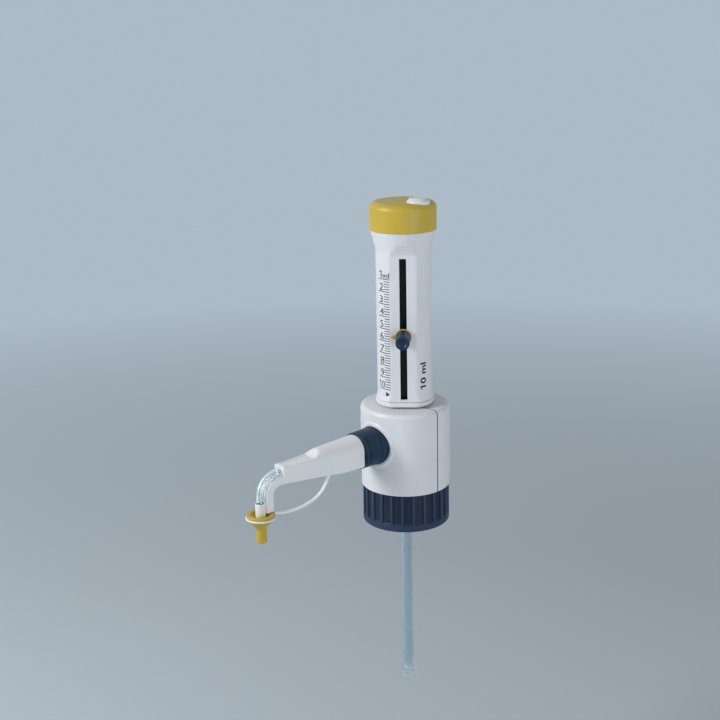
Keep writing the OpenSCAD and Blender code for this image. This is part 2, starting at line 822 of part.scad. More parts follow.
// Slice of the spout at a distance along it: an arch of the given width between two heights
module spout_slice(along, w, top, foot, arch) {
    slice_t = 0.05;
    at_port() translate([0, 0, along]) linear_extrude(slice_t) {
        translate([foot - port_z, -w / 2]) square([top - foot - arch, w]);
        for (side = [-1, 1])
            translate([top - port_z - arch, side * (w / 2 - arch)]) circle(r = arch, $fn = hull_fn);
    }
}

// The spout's root, waist, shoulder, step and end, each as distance, width, top, foot and arch
function spout_stations() = let (
        fall = spout_top_z - spout_end_top_z,
        lift = spout_end_foot_z - spout_foot_z,
        slim = spout_w - spout_end_w,
        flat_r = 1
    ) [
        [spout_root, spout_w, spout_top_z, spout_foot_z, spout_w / 2 - 0.3],
        [spout_knee, spout_w - 0.24 * slim, spout_top_z - 0.1 * fall, spout_foot_z + 0.05 * lift,
            spout_w / 2 - 1.4],
        [spout_step, spout_w - 0.56 * slim, spout_top_z - 0.18 * fall, spout_foot_z + 0.4 * lift,
            spout_w / 2 - 3],
        [spout_step + spout_step_l, spout_w - 0.66 * slim, spout_top_z - 0.96 * fall,
            spout_foot_z + 0.5 * lift, flat_r],
        [spout_end, spout_end_w, spout_end_top_z, spout_end_foot_z, flat_r]
    ];

module spout_body() {
    stations = spout_stations();
    arm_foot_z = tip_rim_z + run_gap;
    color(white_plastic) difference() {
        union() {
            at_port() round_bar(spout_flange_d, spout_flange_in, spout_flange_in + spout_flange_t);
            at_port() round_bar(spout_neck_d, spout_flange_in, spout_root + 1);
            for (i = [0 : len(stations) - 2])
                hull() for (s = [stations[i], stations[i + 1]])
                    spout_slice(s[0], s[1], s[2], s[3], s[4]);
            spout_arm(arm_foot_z);
            translate([-reach, 0, 0]) round_bar(clip_d, tip_rim_z - clip_in, tip_rim_z + clip_h);
        }
        tube_path(tube_d + 2 * fit_gap);
        translate([-strap_x, 0, 0])
            round_bar(strap_peg_d + 2 * fit_gap, spout_foot_z - 1, strap_root_z + fit_gap);
    }
}

// The curved arm under the tube, with a straight run down to the tip cap
module spout_arm(foot_z) {
    bend_in = bend_x - spout_end;
    translate([-bend_x, 0, bend_z]) rotate([90, 0, 0]) rotate([0, 0, 90]) rotate_extrude(angle = 90)
        translate([arm_r, -arm_w / 2]) square([arm_t, arm_w]);
    translate([-bend_x - arm_r - arm_t, -arm_w / 2, foot_z]) cube([arm_t, arm_w, bend_z - foot_z]);
    translate([-bend_x, -arm_w / 2, bend_z + arm_r]) cube([bend_in + 1, arm_w, arm_t]);
}

// A round bar along the discharge tube's route: rise, bend and drop. The bend is a hair thicker and
// laps over both straight runs, so that the three join
module tube_path(d) {
    lap = 1;
    swell = 0.04;
    translate([-tube_in, 0, port_z]) rotate([0, -90 + tube_rise, 0]) cylinder(d = d, h = tube_straight);
    translate([-bend_x, 0, bend_z]) rotate([90, 0, 0]) rotate([0, 0, 90 - tube_rise - lap])
        rotate_extrude(angle = 90 + tube_rise + 2 * lap) translate([bend_r, 0]) circle(d = d + swell);
    translate([-reach, 0, 0]) round_bar(d, tube_end_z, bend_z);
}

module discharge_tube() {
    color(clear_plastic) difference() {
        tube_path(tube_d);
        tube_path(tube_bore_d);
    }
}

module tip_cap() {
    funnel_d = tip_cap_d - 2 * rim_wall;
    plug_d = clip_d + 2 * bush_gap;
    bore = tube_d + 2 * run_gap;
    foot_edge = 0.8;
    plug_foot_z = tip_rim_z - clip_in - run_gap;
    color(yellow_plastic) translate([-reach, 0, 0]) difference() {
        union() {
            round_bar(tip_cap_d, groove_top_z, tip_rim_z);
            round_bar(groove_d, cone_top_z, tip_rim_z);
            round_bar(tip_cap_d - 2 * tip_lip_in, cone_top_z, groove_foot_z);
            translate([0, 0, cone_foot_z])
                cylinder(d1 = tip_stem_d + 0.6, d2 = groove_d, h = cone_top_z - cone_foot_z);
            round_bar(tip_stem_d, tip_foot_z + foot_edge, cone_top_z);
            translate([0, 0, tip_foot_z])
                cylinder(d1 = tip_stem_d - 2 * foot_edge, d2 = tip_stem_d, h = foot_edge);
        }
        translate([0, 0, tip_rim_z - clip_in])
            cylinder(d1 = plug_d, d2 = funnel_d, h = clip_in + 0.01);
        round_bar(plug_d, plug_foot_z, tip_rim_z);
        round_bar(bore, tip_foot_z + stem_floor_t, tip_rim_z);
    }
}

// The strap: a peg in the spout, a bend, a long bend that laps over the first, and a flat ring with
// a lug
module cap_strap() {
    lap = 0.4;
    swell = 0.04;
    peg_foot_z = min(spout_foot_z - 2, strap_arc_z - 1);
    ring_z = strap_z - strap_ring_t / 2;
    color(white_plastic) union() {
        translate([-strap_x, 0, 0]) round_bar(strap_peg_d, peg_foot_z, strap_root_z);
        translate([-strap_x - strap_bend_r, 0, strap_arc_z]) rotate([90, 0, 0])
            rotate([0, 0, -strap_turn]) rotate_extrude(angle = strap_turn)
                translate([strap_bend_r, 0]) circle(d = strap_d);
        translate([-strap_sag_x, 0, strap_sag_z]) rotate([90, 0, 0])
            rotate([0, 0, -strap_end_turn]) rotate_extrude(angle = strap_end_turn - strap_turn + lap)
                translate([strap_sag_r, 0]) circle(d = strap_d + swell);
        translate([-reach, 0, 0])
            pipe(2 * strap_ring_out, 2 * strap_ring_in, ring_z, ring_z + strap_ring_t);
        translate([strap_ring_in + 0.4 - reach, -strap_d / 2, ring_z])
            cube([strap_ring_out + strap_lug_l - strap_ring_in - 0.4, strap_d, strap_ring_t]);
    }
}

module filling_tube_upper() {
    color(clear_plastic) pipe(fill_d, fill_bore_d, fill_foot_z, fill_top_z);
}

module filling_tube_lower() {
    bevel = 40;
    color(clear_plastic) difference() {
        pipe(fill_outer_d, fill_outer_bore_d, fill_lower_foot_z, fill_lower_top_z);
        translate([-fill_outer_d / 2, 0, fill_lower_foot_z]) rotate([0, bevel, 0])
            translate([-far, -far, -2 * far]) cube([2 * far, 2 * far, 2 * far]);
    }
}

bottle_nut();
valve_block();
neck_gasket();
housing_front();
housing_rear();
inlet_valve_seat();
inlet_ball();
glass_cylinder();
cylinder_seal();
guide_sleeve();
rod_bush();
piston();
piston_rod();
rod_carrier();
calibration_nut();
handle_tube();
guide_ring();
top_cap();
calibration_cover();
stop_slider();
pointer_washer();
slider_knob();
port_seal();
discharge_valve_body();
discharge_ball();
discharge_spring();
spring_retainer();
union_nut();
spout_body();
discharge_tube();
tip_cap();
cap_strap();
filling_tube_upper();
filling_tube_lower();
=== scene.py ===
"""Looks of a bottle top dispenser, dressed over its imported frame.

Each visible piece is a surface worked out with numpy in the frame's own metres: a profile turned
about an axis, a section carried along a path, or a grid over two parameters. Pieces that only the
frame shapes, such as the seals and the filling tubes, keep their mesh and get a finish here.
"""

import json
import logging
import math
from dataclasses import dataclass, field
from enum import Enum

import bmesh
import bpy
import numpy as np
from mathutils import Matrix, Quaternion, Vector
from numpy.typing import NDArray


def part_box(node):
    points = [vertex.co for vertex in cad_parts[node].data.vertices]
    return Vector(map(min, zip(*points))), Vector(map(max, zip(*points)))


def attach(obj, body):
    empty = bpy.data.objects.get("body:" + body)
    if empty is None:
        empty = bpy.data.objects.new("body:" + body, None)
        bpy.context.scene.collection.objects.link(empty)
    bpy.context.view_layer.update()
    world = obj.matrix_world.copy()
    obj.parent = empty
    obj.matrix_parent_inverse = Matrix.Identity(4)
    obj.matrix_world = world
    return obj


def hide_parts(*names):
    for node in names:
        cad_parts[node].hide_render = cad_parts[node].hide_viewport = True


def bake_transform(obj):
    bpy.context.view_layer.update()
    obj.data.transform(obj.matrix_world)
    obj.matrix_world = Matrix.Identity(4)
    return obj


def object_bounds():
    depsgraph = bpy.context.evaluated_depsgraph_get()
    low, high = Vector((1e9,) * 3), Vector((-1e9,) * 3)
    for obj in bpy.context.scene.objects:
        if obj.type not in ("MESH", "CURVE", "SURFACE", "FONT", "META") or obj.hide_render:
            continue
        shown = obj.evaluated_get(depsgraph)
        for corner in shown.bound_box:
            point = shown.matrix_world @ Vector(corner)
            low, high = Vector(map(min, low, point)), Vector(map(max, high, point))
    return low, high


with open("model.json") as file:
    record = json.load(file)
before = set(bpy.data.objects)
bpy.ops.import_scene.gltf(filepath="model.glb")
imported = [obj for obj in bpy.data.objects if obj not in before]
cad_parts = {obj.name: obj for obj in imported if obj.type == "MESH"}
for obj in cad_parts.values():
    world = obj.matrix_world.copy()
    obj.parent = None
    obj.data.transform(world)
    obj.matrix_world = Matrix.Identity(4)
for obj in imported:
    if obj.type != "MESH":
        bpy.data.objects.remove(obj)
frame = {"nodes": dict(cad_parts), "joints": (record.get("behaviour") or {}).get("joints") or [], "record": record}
CAD_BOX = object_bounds()

Array = NDArray[np.float64]
Quads = NDArray[np.int64]
Colour = tuple[float, float, float]
MM = 0.001
TURN = 2 * math.pi
MERGE_DISTANCE = 0.002 * MM
SHARP_ANGLE = math.radians(38)
BEVEL_ANGLE = math.radians(50)
TOLERANCE = 1e-6
TINY = 1e-12
EDGE_SHARE = 0.49

log = logging.getLogger("dispenser")


class Body(Enum):
    """The frame's bodies that new pieces ride on."""

    NUT = "nut"
    HEAD = "head"
    HANDLE = "handle"
    SLIDER = "slider"
    KNOB = "knob"
    UNION = "union_nut"
    TIP = "tip_cap"
    BALL = "discharge_ball"


class Slot(Enum):
    """The record's material slots."""

    WHITE = "white_plastic"
    NAVY = "navy_plastic"
    YELLOW = "yellow_plastic"
    BLACK = "black_plastic"
    MILKY = "milky_plastic"
    CLEAR = "clear_plastic"
    GLASS = "clear_glass"
    CERAMIC = "ceramic"
    STEEL = "steel"
    SEAL = "seal_grey"


# Shapes


@dataclass(frozen=True)
class Surface:
    """Points and faces of a surface, before it becomes a mesh."""

    points: Array
    quads: Quads


@dataclass(frozen=True)
class Axes:
    """A local frame: an origin and three unit directions in the row frame."""

    origin: Array
    x: Array
    y: Array
    z: Array

    def place(self, points: Array) -> Array:
        """Turns local points into points of the row frame.

        Args:
            points: local points, with x, y and z on the last axis.

        Returns:
            The same points in the row frame.
        """
        return self.origin + points @ np.stack([self.x, self.y, self.z])


def axes_along(origin: Array, direction: Array) -> Axes:
    """Builds a local frame whose z runs along a level direction and whose x points up.

    Args:
        origin: the local origin in the row frame.
        direction: level unit direction of the local z.

    Returns:
        The local frame.
    """
    up = np.array([0.0, 0.0, 1.0])
    return Axes(np.asarray(origin, float), up, np.cross(direction, up), np.asarray(direction, float))


UPRIGHT = Axes(np.zeros(3), *np.eye(3))


def smooth_step(low: float, high: float, value: Array) -> Array:
    """Rises from 0 at low to 1 at high along the cubic 3t^2 - 2t^3.

    Args:
        low: where the rise starts.
        high: where the rise ends.
        value: where it is read.

    Returns:
        The rise at each value.
    """
    t = np.clip((value - low) / (high - low), 0, 1)
    return t * t * (3 - 2 * t)


def soft_min(a: Array, b: Array, blend: float) -> Array:
    """The smaller of two numbers, with the crease between them rounded over about blend.

    Args:
        a: first numbers.
        b: second numbers.
        blend: how far from the crease the rounding reaches.

    Returns:
        The rounded minimum: less than the plain one by at most a quarter of blend.
    """
    near = np.clip(1 - np.abs(a - b) / blend, 0, 1)
    return np.minimum(a, b) - blend / 4 * near * near


def rounded(corners: Array, radii: Array, steps: int = 6, closed: bool = True) -> Array:
    """Rounds the corners of an outline with arcs that touch both their edges.

    An arc is a rational quadratic curve from one touching point to the other by way of the corner,
    whose weight is the sine of half the corner's angle, which makes it a true circle. It takes up
    no more than EDGE_SHARE of either edge.

    Args:
        corners: corner points, (..., corner, 2).
        radii: radius at each corner, (..., corner) or one that fits it.
        steps: points on each arc.
        closed: whether the last corner joins the first. An open outline keeps its two ends.

    Returns:
        The rounded outline, (..., corner * steps, 2).
    """
    before = np.roll(corners, 1, axis=-2) - corners
    after = np.roll(corners, -1, axis=-2) - corners
    room_before = np.linalg.norm(before, axis=-1)
    room_after = np.linalg.norm(after, axis=-1)
    before = before / np.maximum(room_before, TINY)[..., None]
    after = after / np.maximum(room_after, TINY)[..., None]
    half = 0.5 * np.arccos(np.clip((before * after).sum(-1), -1, 1))
    most = EDGE_SHARE * np.minimum(room_before, room_after)
    reach = np.minimum(np.asarray(radii) / np.tan(half), most)
    if not closed:
        inner = np.ones(corners.shape[-2])
        inner[[0, -1]] = 0
        reach = reach * inner
    start = (corners + before * reach[..., None])[..., None, :]
    end = (corners + after * reach[..., None])[..., None, :]
    s = np.linspace(0, 1, steps)
    low = ((1 - s) ** 2)[:, None]
    mid = (2 * s * (1 - s) * np.sin(half)[..., None])[..., None]
    high = (s**2)[:, None]
    arcs = (low * start + mid * corners[..., None, :] + high * end) / (low + mid + high)
    return arcs.reshape(*corners.shape[:-2], -1, 2)


def grid_surface(
    grid: Array,
    wrap_rows: bool = False,
    wrap_columns: bool = False,
    keep: NDArray[np.bool_] | None = None,
) -> Surface:
    """Joins a grid of points with quads.

    Args:
        grid: points, (row, column, 3).
        wrap_rows: whether the last row joins the first.
        wrap_columns: whether the last column joins the first.
        keep: which quads stay, (row gap, column gap).

    Returns:
        The surface, with one quad for each gap that is kept.
    """
    index = np.arange(grid.shape[0] * grid.shape[1]).reshape(grid.shape[:2])
    if wrap_rows:
        index = np.vstack([index, index[:1]])
    if wrap_columns:
        index = np.hstack([index, index[:, :1]])
    quads = np.stack([index[:-1, :-1], index[:-1, 1:], index[1:, 1:], index[1:, :-1]], -1)
    quads = quads.reshape(-1, 4) if keep is None else quads[keep]
    return Surface(grid.reshape(-1, 3), quads)


def joined(*surfaces: Surface) -> Surface:
    """Puts several surfaces into one, with their faces renumbered in order.

    Args:
        surfaces: the surfaces, in order.

    Returns:
        One surface that holds them all.
    """
    starts = np.cumsum([0] + [len(s.points) for s in surfaces[:-1]])
    return Surface(
        np.concatenate([s.points for s in surfaces]),
        np.concatenate([s.quads + start for s, start in zip(surfaces, starts)]),
    )


def closed_tube(grid: Array) -> Surface:
    """Joins rings of points into a tube, with each end closed to the middle of its ring.

    Args:
        grid: points, (ring, point, 3).

    Returns:
        The tube.
    """
    ends = np.broadcast_to(grid[[0, -1]].mean(1, keepdims=True), (2, *grid.shape[1:]))
    return grid_surface(np.concatenate([ends[:1], grid, ends[1:]]), wrap_columns=True)


def mm(*values: float | tuple[float, float]) -> Array:
    """Lengths that are given in millimetres, as an array in metres."""
    return np.array(values) * MM


def even_turn(count: int) -> Array:
    """Evenly spaced angles of a full turn, in radians."""
    return np.arange(count) * TURN / count


def polar(radius: Array, angle: Array, height: Array) -> Array:
    """Points (r cos a, r sin a, h), with the three arrays spread to one shape."""
    return np.stack(np.broadcast_arrays(radius * np.cos(angle), radius * np.sin(angle), height), -1)


def corners_at(angle: Array, corners: list[tuple[Array, Array]]) -> Array:
    """Spreads the corners of a profile over the angles of a turn.

    Args:
        angle: the angles.
        corners: radius and height of each corner, as one number or as one for each angle.

    Returns:
        Radius and height, (angle, corner, 2).
    """
    return np.stack([np.stack([0 * angle + r, 0 * angle + h], -1) for r, h in corners], 1)


def turned_at(profile: Array, angle: Array, axes: Axes = UPRIGHT, closed: bool = True) -> Surface:
    """Turns a profile that has one shape at each of the given angles about the local z.

    Args:
        profile: radius and height, (angle, point, 2).
        angle: the angles of a full turn, in radians.
        axes: the local frame.
        closed: whether the profile's last point joins its first. An open profile that starts and
            ends on the axis closes at its two poles.

    Returns:
        The turned surface, joined at the full turn.
    """
    grid = polar(profile[..., 0], angle[:, None], profile[..., 1])
    return grid_surface(axes.place(grid), wrap_rows=True, wrap_columns=closed)


def spun(profile: Array, axes: Axes, segments: int, closed: bool) -> Surface:
    """Turns one profile of radius and height all round the local z.

    Args:
        profile: radius and height, (point, 2).
        axes: the local frame.
        segments: angles in a full turn.
        closed: whether the profile's last point joins its first.

    Returns:
        The turned surface.
    """
    spread = np.broadcast_to(profile, (segments, *profile.shape))
    return turned_at(spread, even_turn(segments), axes, closed)


def turned(
    corners: list[tuple[float, float]],
    eases: list[float],
    axes: Axes = UPRIGHT,
    steps: int = 5,
    segments: int = 96,
    closed: bool = True,
) -> Surface:
    """Rounds the corners of a profile and turns it about the local z.

    Args:
        corners: radius and height of each corner.
        eases: radius of the round at each corner, in millimetres.
        axes: the local frame.
        steps: points on each round.
        segments: angles in a full turn.
        closed: whether the profile's last corner joins its first.

    Returns:
        The turned surface.
    """
    return spun(rounded(np.array(corners), mm(*eases), steps, closed), axes, segments, closed)


def carried(path: Array, outline: Array, side: Array) -> Array:
    """Carries an outline along a path that stays in one plane.

    The point at path point p and outline point (u, v) is p + u n + v s, where n lies in the path's
    plane, square to the path, and s is the plane's normal.

    Args:
        path: points along the path, (point, 3).
        outline: closed outline, (point, 2), or (path point, point, 2) where it changes on the way.
        side: the plane's unit normal.

    Returns:
        A ring of points at each path point, (path point, point, 3).
    """
    along = np.gradient(path, axis=0)
    along /= np.linalg.norm(along, axis=1, keepdims=True)
    normal = np.cross(along, side)[:, None]
    return path[:, None] + outline[..., :1] * normal + outline[..., 1:] * side


def arc_points(centre: Array, radius: float, start: float, end: float, count: int) -> Array:
    """Points on an arc in the XZ plane, from one angle to another, measured from +X towards +Z.

    Args:
        centre: x and z of the arc's centre.
        radius: the arc's radius.
        start: first angle in radians.
        end: last angle in radians.
        count: number of points.

    Returns:
        The points, (point, 3), with y 0.
    """
    a = np.linspace(start, end, count)
    return np.stack([centre[0] + radius * np.cos(a), 0 * a, centre[1] + radius * np.sin(a)], -1)


def line_points(start: Array, end: Array, count: int) -> Array:
    """Evenly spaced points from one point to another, (point, 3)."""
    return np.linspace(np.asarray(start, float), np.asarray(end, float), count)


# The frame's own sizes


def node_box(node: str) -> tuple[Array, Array]:
    """Lowest and highest corner of a node of the frame."""
    low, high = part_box(node)
    return np.array(low), np.array(high)


def mesh_points(mesh: bpy.types.Mesh) -> Array:
    """Vertices of a mesh, (vertex, 3).

    Args:
        mesh: the mesh.

    Returns:
        The points, (vertex, 3).
    """
    flat = np.zeros(3 * len(mesh.vertices), np.float32)
    mesh.vertices.foreach_get("co", flat)
    return flat.reshape(-1, 3).astype(float)


def node_points(node: str) -> Array:
    """Vertices of a node of the frame, (vertex, 3)."""
    return mesh_points(frame["nodes"][node].data)


def shown(name: str, data: bpy.types.ID) -> bpy.types.Object:
    """Makes an object of a mesh, curve, lamp or camera and links it to the scene.

    Args:
        name: the object's name.
        data: its mesh, curve, lamp or camera.

    Returns:
        The object, linked to the scene.
    """
    obj = bpy.data.objects.new(name, data)
    bpy.context.scene.collection.objects.link(obj)
    return obj


def span_along(node: str, axes: Axes) -> tuple[float, float]:
    """Where a node starts and ends along a local z.

    Args:
        node: the node's name.
        axes: the local frame.

    Returns:
        The lowest and the highest local z.
    """
    z = (node_points(node) - axes.origin) @ axes.z
    return float(z.min()), float(z.max())


def radius_about(node: str, axes: Axes) -> float:
    """Largest distance of a node's points from a local z axis."""
    local = node_points(node) - axes.origin
    return float(np.hypot(local @ axes.x, local @ axes.y).max())


def joint(name: str) -> dict:
    """The frame's joint of that name."""
    return next(j for j in frame["joints"] if j["name"] == name)


def joint_axes(name: str) -> Axes:
    """A local frame on a level hinge, whose z runs along the hinge's axis from the pump's own axis.

    Args:
        name: the hinge's name.

    Returns:
        The local frame.
    """
    found = joint(name)
    direction = np.array(found["axis"], float)
    direction /= np.linalg.norm(direction)
    place = np.array(found["pos_m"], float)
    return axes_along(place - direction * (place @ direction), direction)


# Finishes


class NodeTree:
    """A node tree, with short ways to add and join nodes."""

    def __init__(self, tree: bpy.types.ShaderNodeTree) -> None:
        """Takes the tree that nodes are added to."""
        self.tree = tree

    def fill(self, socket: bpy.types.NodeSocket, value: object) -> None:
        """Links another socket to a socket, or gives it a fixed value.

        Args:
            socket: the socket to fill.
            value: another socket, or a value.
        """
        if isinstance(value, bpy.types.NodeSocket):
            self.tree.links.new(value, socket)
        else:
            socket.default_value = value

    def feed(self, node: bpy.types.Node, **inputs: object) -> None:
        """Fills a node's sockets, with spaces in their names written as underscores."""
        for name, value in inputs.items():
            self.fill(node.inputs[name.replace("_", " ")], value)

    def add(
        self, kind: str, *ordered: object, options: dict[str, str] | None = None, **inputs: object
    ) -> bpy.types.Node:
        """Adds a node.

        Args:
            kind: the node's type.
            ordered: values or links of its first sockets, in order.
            options: the node's own settings, made before its sockets are filled.
            inputs: values or links of its sockets by name.

        Returns:
            The new node.
        """
        node = self.tree.nodes.new(kind)
        for name, value in (options or {}).items():
            setattr(node, name, value)
        for socket, value in zip(node.inputs, ordered):
            self.fill(socket, value)
        self.feed(node, **inputs)
        return node


class Graph(NodeTree):
    """A material's node tree about its Principled shader."""

    def __init__(self, name: str) -> None:
        """Starts a material of that name with a bare Principled shader.

        Args:
            name: the material's name.
        """
        self.material = bpy.data.materials.new(name)
        self.material.use_nodes = True
        super().__init__(self.material.node_tree)
        self.shader = self.tree.nodes["Principled BSDF"]
        self.place = self.add("ShaderNodeTexCoord").outputs["Object"]

    def shade(self, **inputs: object) -> None:
        """Fills sockets of the shader."""
        self.feed(self.shader, **inputs)

    def noise(self, size: float, detail: float = 2.0, rough: float = 0.5) -> bpy.types.NodeSocket:
        """A noise over the piece's own place.

        Args:
            size: the size of its patches in metres.
            detail: octaves.
            rough: weight of the finer octaves.

        Returns:
            The noise's value, from 0 to 1.
        """
        node = self.add(
            "ShaderNodeTexNoise", Vector=self.place, Scale=1 / size, Detail=detail, Roughness=rough
        )
        return node.outputs["Fac"]

    def blend(self, factor: bpy.types.NodeSocket, a: object, b: Colour) -> bpy.types.NodeSocket:
        """A colour between two, by a factor.

        Args:
            factor: where 0 gives the first colour and 1 the second.
            a: first colour, or the socket that gives it.
            b: second colour.

        Returns:
            The blended colour.
        """
        first = a if isinstance(a, bpy.types.NodeSocket) else (*a, 1)
        rgba = {"data_type": "RGBA"}
        node = self.add("ShaderNodeMix", options=rgba, Factor=factor, A=first, B=(*b, 1))
        return node.outputs["Result"]

    def between(
        self,
        factor: bpy.types.NodeSocket,
        low: float,
        high: float,
        start: float = 0.3,
        end: float = 0.7,
    ) -> bpy.types.NodeSocket:
        """A number that follows a factor.

        Args:
            factor: the factor.
            low: value at and below start.
            high: value at and above end.
            start: factor where the change starts.
            end: factor where the change ends.

        Returns:
            The number.
        """
        node = self.add(
            "ShaderNodeMapRange", Value=factor, From_Min=start, From_Max=end, To_Min=low, To_Max=high
        )
        return node.outputs["Result"]

    def bump(self, height: bpy.types.NodeSocket, depth: float, strength: float) -> None:
        """Raises the surface by a height, to a depth in metres."""
        node = self.add("ShaderNodeBump", Strength=strength, Distance=depth, Height=height)
        self.shade(Normal=node.outputs["Normal"])


def toned(colour: Colour, share: float) -> Colour:
    """A colour times a share, no brighter than 1."""
    return tuple(min(1.0, share * c) for c in colour)


@dataclass(frozen=True)
class MouldedPlastic:
    """Injection moulded plastic: faint cloudiness, an uneven gloss and the mould's fine grain."""

    name: str
    colour: Colour
    shade: Colour
    gloss: tuple[float, float]
    grain: float = 0.35 * MM
    grain_depth: float = 0.02 * MM
    grain_strength: float = 0.35
    cloud: float = 22 * MM
    gloss_patch: float = 6 * MM
    specular: float = 0.5
    # A lighter colour painted where the crest attribute is high: a painted highlight.
    crest: Colour | None = None

    def material(self) -> bpy.types.Material:
        """Makes the material. With a crest colour, the piece's own crest attribute brings that colour in as
        painted light.

        Returns:
            The material.
        """
        graph = Graph(self.name)
        tone = graph.blend(graph.between(graph.noise(self.cloud, 3), 0, 1), self.colour, self.shade)
        if self.crest:
            rib_light_node = graph.add("ShaderNodeAttribute", options={"attribute_name": "crest"})
            tone = graph.blend(rib_light_node.outputs["Fac"], tone, self.crest)
        gloss = graph.between(graph.noise(self.gloss_patch, 4), *self.gloss)
        graph.shade(Base_Color=tone, Roughness=gloss, Specular_IOR_Level=self.specular)
        graph.bump(graph.noise(self.grain, 3, 0.6), self.grain_depth, self.grain_strength)
        return graph.material


@dataclass(frozen=True)
class ClearPlastic:
    """Clear tube or glass: see-through, with a faintly uneven tint and gloss."""

    name: str
    colour: Colour
    roughness: float
    ior: float
    brightening: float = 1.04
    gloss_spread: tuple[float, float] = (0.7, 1.4)
    tint_patch: float = 9 * MM
    gloss_patch: float = 12 * MM

    def material(self) -> bpy.types.Material:
        """Makes the material.

        Returns:
            The material.
        """
        graph = Graph(self.name)
        bright = toned(self.colour, self.brightening)
        tint = graph.blend(graph.noise(self.tint_patch), self.colour, bright)
        low, high = (self.roughness * share for share in self.gloss_spread)
        gloss = graph.between(graph.noise(self.gloss_patch), low, high)
        graph.shade(Base_Color=tint, Roughness=gloss, Transmission_Weight=1.0, IOR=self.ior)
        return graph.material


@dataclass(frozen=True)
class GroundMetal:
    """Ground or wound steel with fine scratches."""

    name: str
    colour: Colour
    gloss: tuple[float, float]
    darkening: float = 0.8
    stain: float = 4 * MM
    polish: float = 0.5 * MM
    scratch: float = 0.2 * MM
    scratch_depth: float = 0.005 * MM
    scratch_strength: float = 0.3

    def material(self) -> bpy.types.Material:
        """Makes the material.

        Returns:
            The material.
        """
        graph = Graph(self.name)
        tone = graph.blend(graph.noise(self.stain), self.colour, toned(self.colour, self.darkening))
        gloss = graph.between(graph.noise(self.polish, 4), *self.gloss)
        graph.shade(Base_Color=tone, Roughness=gloss, Metallic=1.0)
        graph.bump(graph.noise(self.scratch, 2), self.scratch_depth, self.scratch_strength)
        return graph.material


@dataclass(frozen=True)
class PrintedInk:
    """Black pad-printed ink: matt, and a little uneven where it is thin."""

    name: str
    colour: Colour
    thinning: float = 0.015
    thin_patch: float = 0.8 * MM
    gloss: tuple[float, float] = (0.45, 0.6)
    gloss_patch: float = 1.5 * MM
    specular: float = 0.2

    def material(self) -> bpy.types.Material:
        """Makes the material.

        Returns:
            The material.
        """
        graph = Graph(self.name)
        thin = tuple(c + self.thinning for c in self.colour)
        tone = graph.blend(graph.noise(self.thin_patch), self.colour, thin)
        gloss = graph.between(graph.noise(self.gloss_patch), *self.gloss)
        graph.shade(Base_Color=tone, Roughness=gloss, Specular_IOR_Level=self.specular)
        return graph.material


Dress = MouldedPlastic | ClearPlastic | GroundMetal | PrintedInk

FINISHES = {
    Slot.WHITE: MouldedPlastic("white_moulding", (0.80, 0.81, 0.84), (0.76, 0.775, 0.81), (0.34, 0.44)),
    Slot.NAVY: MouldedPlastic(
        "navy_moulding", (0.004, 0.030, 0.075), (0.003, 0.024, 0.060), (0.38, 0.5), specular=0.35
    ),
    Slot.YELLOW: MouldedPlastic("yellow_moulding", (0.62, 0.45, 0.05), (0.57, 0.40, 0.035), (0.36, 0.46)),
    Slot.BLACK: MouldedPlastic(
        "black_moulding", (0.004, 0.013, 0.012), (0.003, 0.010, 0.009), (0.4, 0.55), specular=0.3
    ),
    Slot.MILKY: MouldedPlastic("milky_moulding", (0.80, 0.81, 0.79), (0.74, 0.76, 0.74), (0.3, 0.4)),
    Slot.CLEAR: ClearPlastic("clear_tube", (0.88, 0.94, 0.96), 0.02, 1.36),
    Slot.GLASS: ClearPlastic("clear_glass", (0.88, 0.95, 0.95), 0.02, 1.47),
    Slot.CERAMIC: MouldedPlastic("lapped_ceramic", (0.82, 0.79, 0.72), (0.78, 0.75, 0.68), (0.12, 0.2)),
    Slot.STEEL: GroundMetal("ground_steel", (0.56, 0.57, 0.6), (0.22, 0.34)),
    Slot.SEAL: MouldedPlastic("grey_seal", (0.10, 0.105, 0.115), (0.08, 0.085, 0.09), (0.55, 0.7)),
}
# The nut's finish paints light and shade. Its base is darker than the navy moulding, as painted shade in the rib
# valleys, the bore and the thread. Its crest colour is a painted highlight on the ribs and, at a share, on the
# plain band.
NUT_RIB_LIGHT_FINISH = MouldedPlastic(
    "navy_nut_painted_rib_light",
    (0.009, 0.020, 0.044),
    (0.007, 0.016, 0.036),
    (0.38, 0.5),
    specular=0.35,
    crest=(0.030, 0.055, 0.130),
)
# A lighter copy of the white moulding for the spout and the cap strap: painted light on the same white plastic.
SPOUT_LIT_WHITE = MouldedPlastic("white_spout_painted_light", (0.90, 0.905, 0.92), (0.86, 0.87, 0.89), (0.34, 0.44))
INK = PrintedInk("scale_ink", (0.005, 0.006, 0.009))
# Dark finish for the cut edge faces of the shells' walls: painted shade in the seam between the two white halves
# and round the holes' edges, on what is white plastic.
SEAM_SHADE_FACE = MouldedPlastic("painted_seam_shade", (0.05, 0.055, 0.065), (0.035, 0.04, 0.05), (0.6, 0.75))


# Pieces


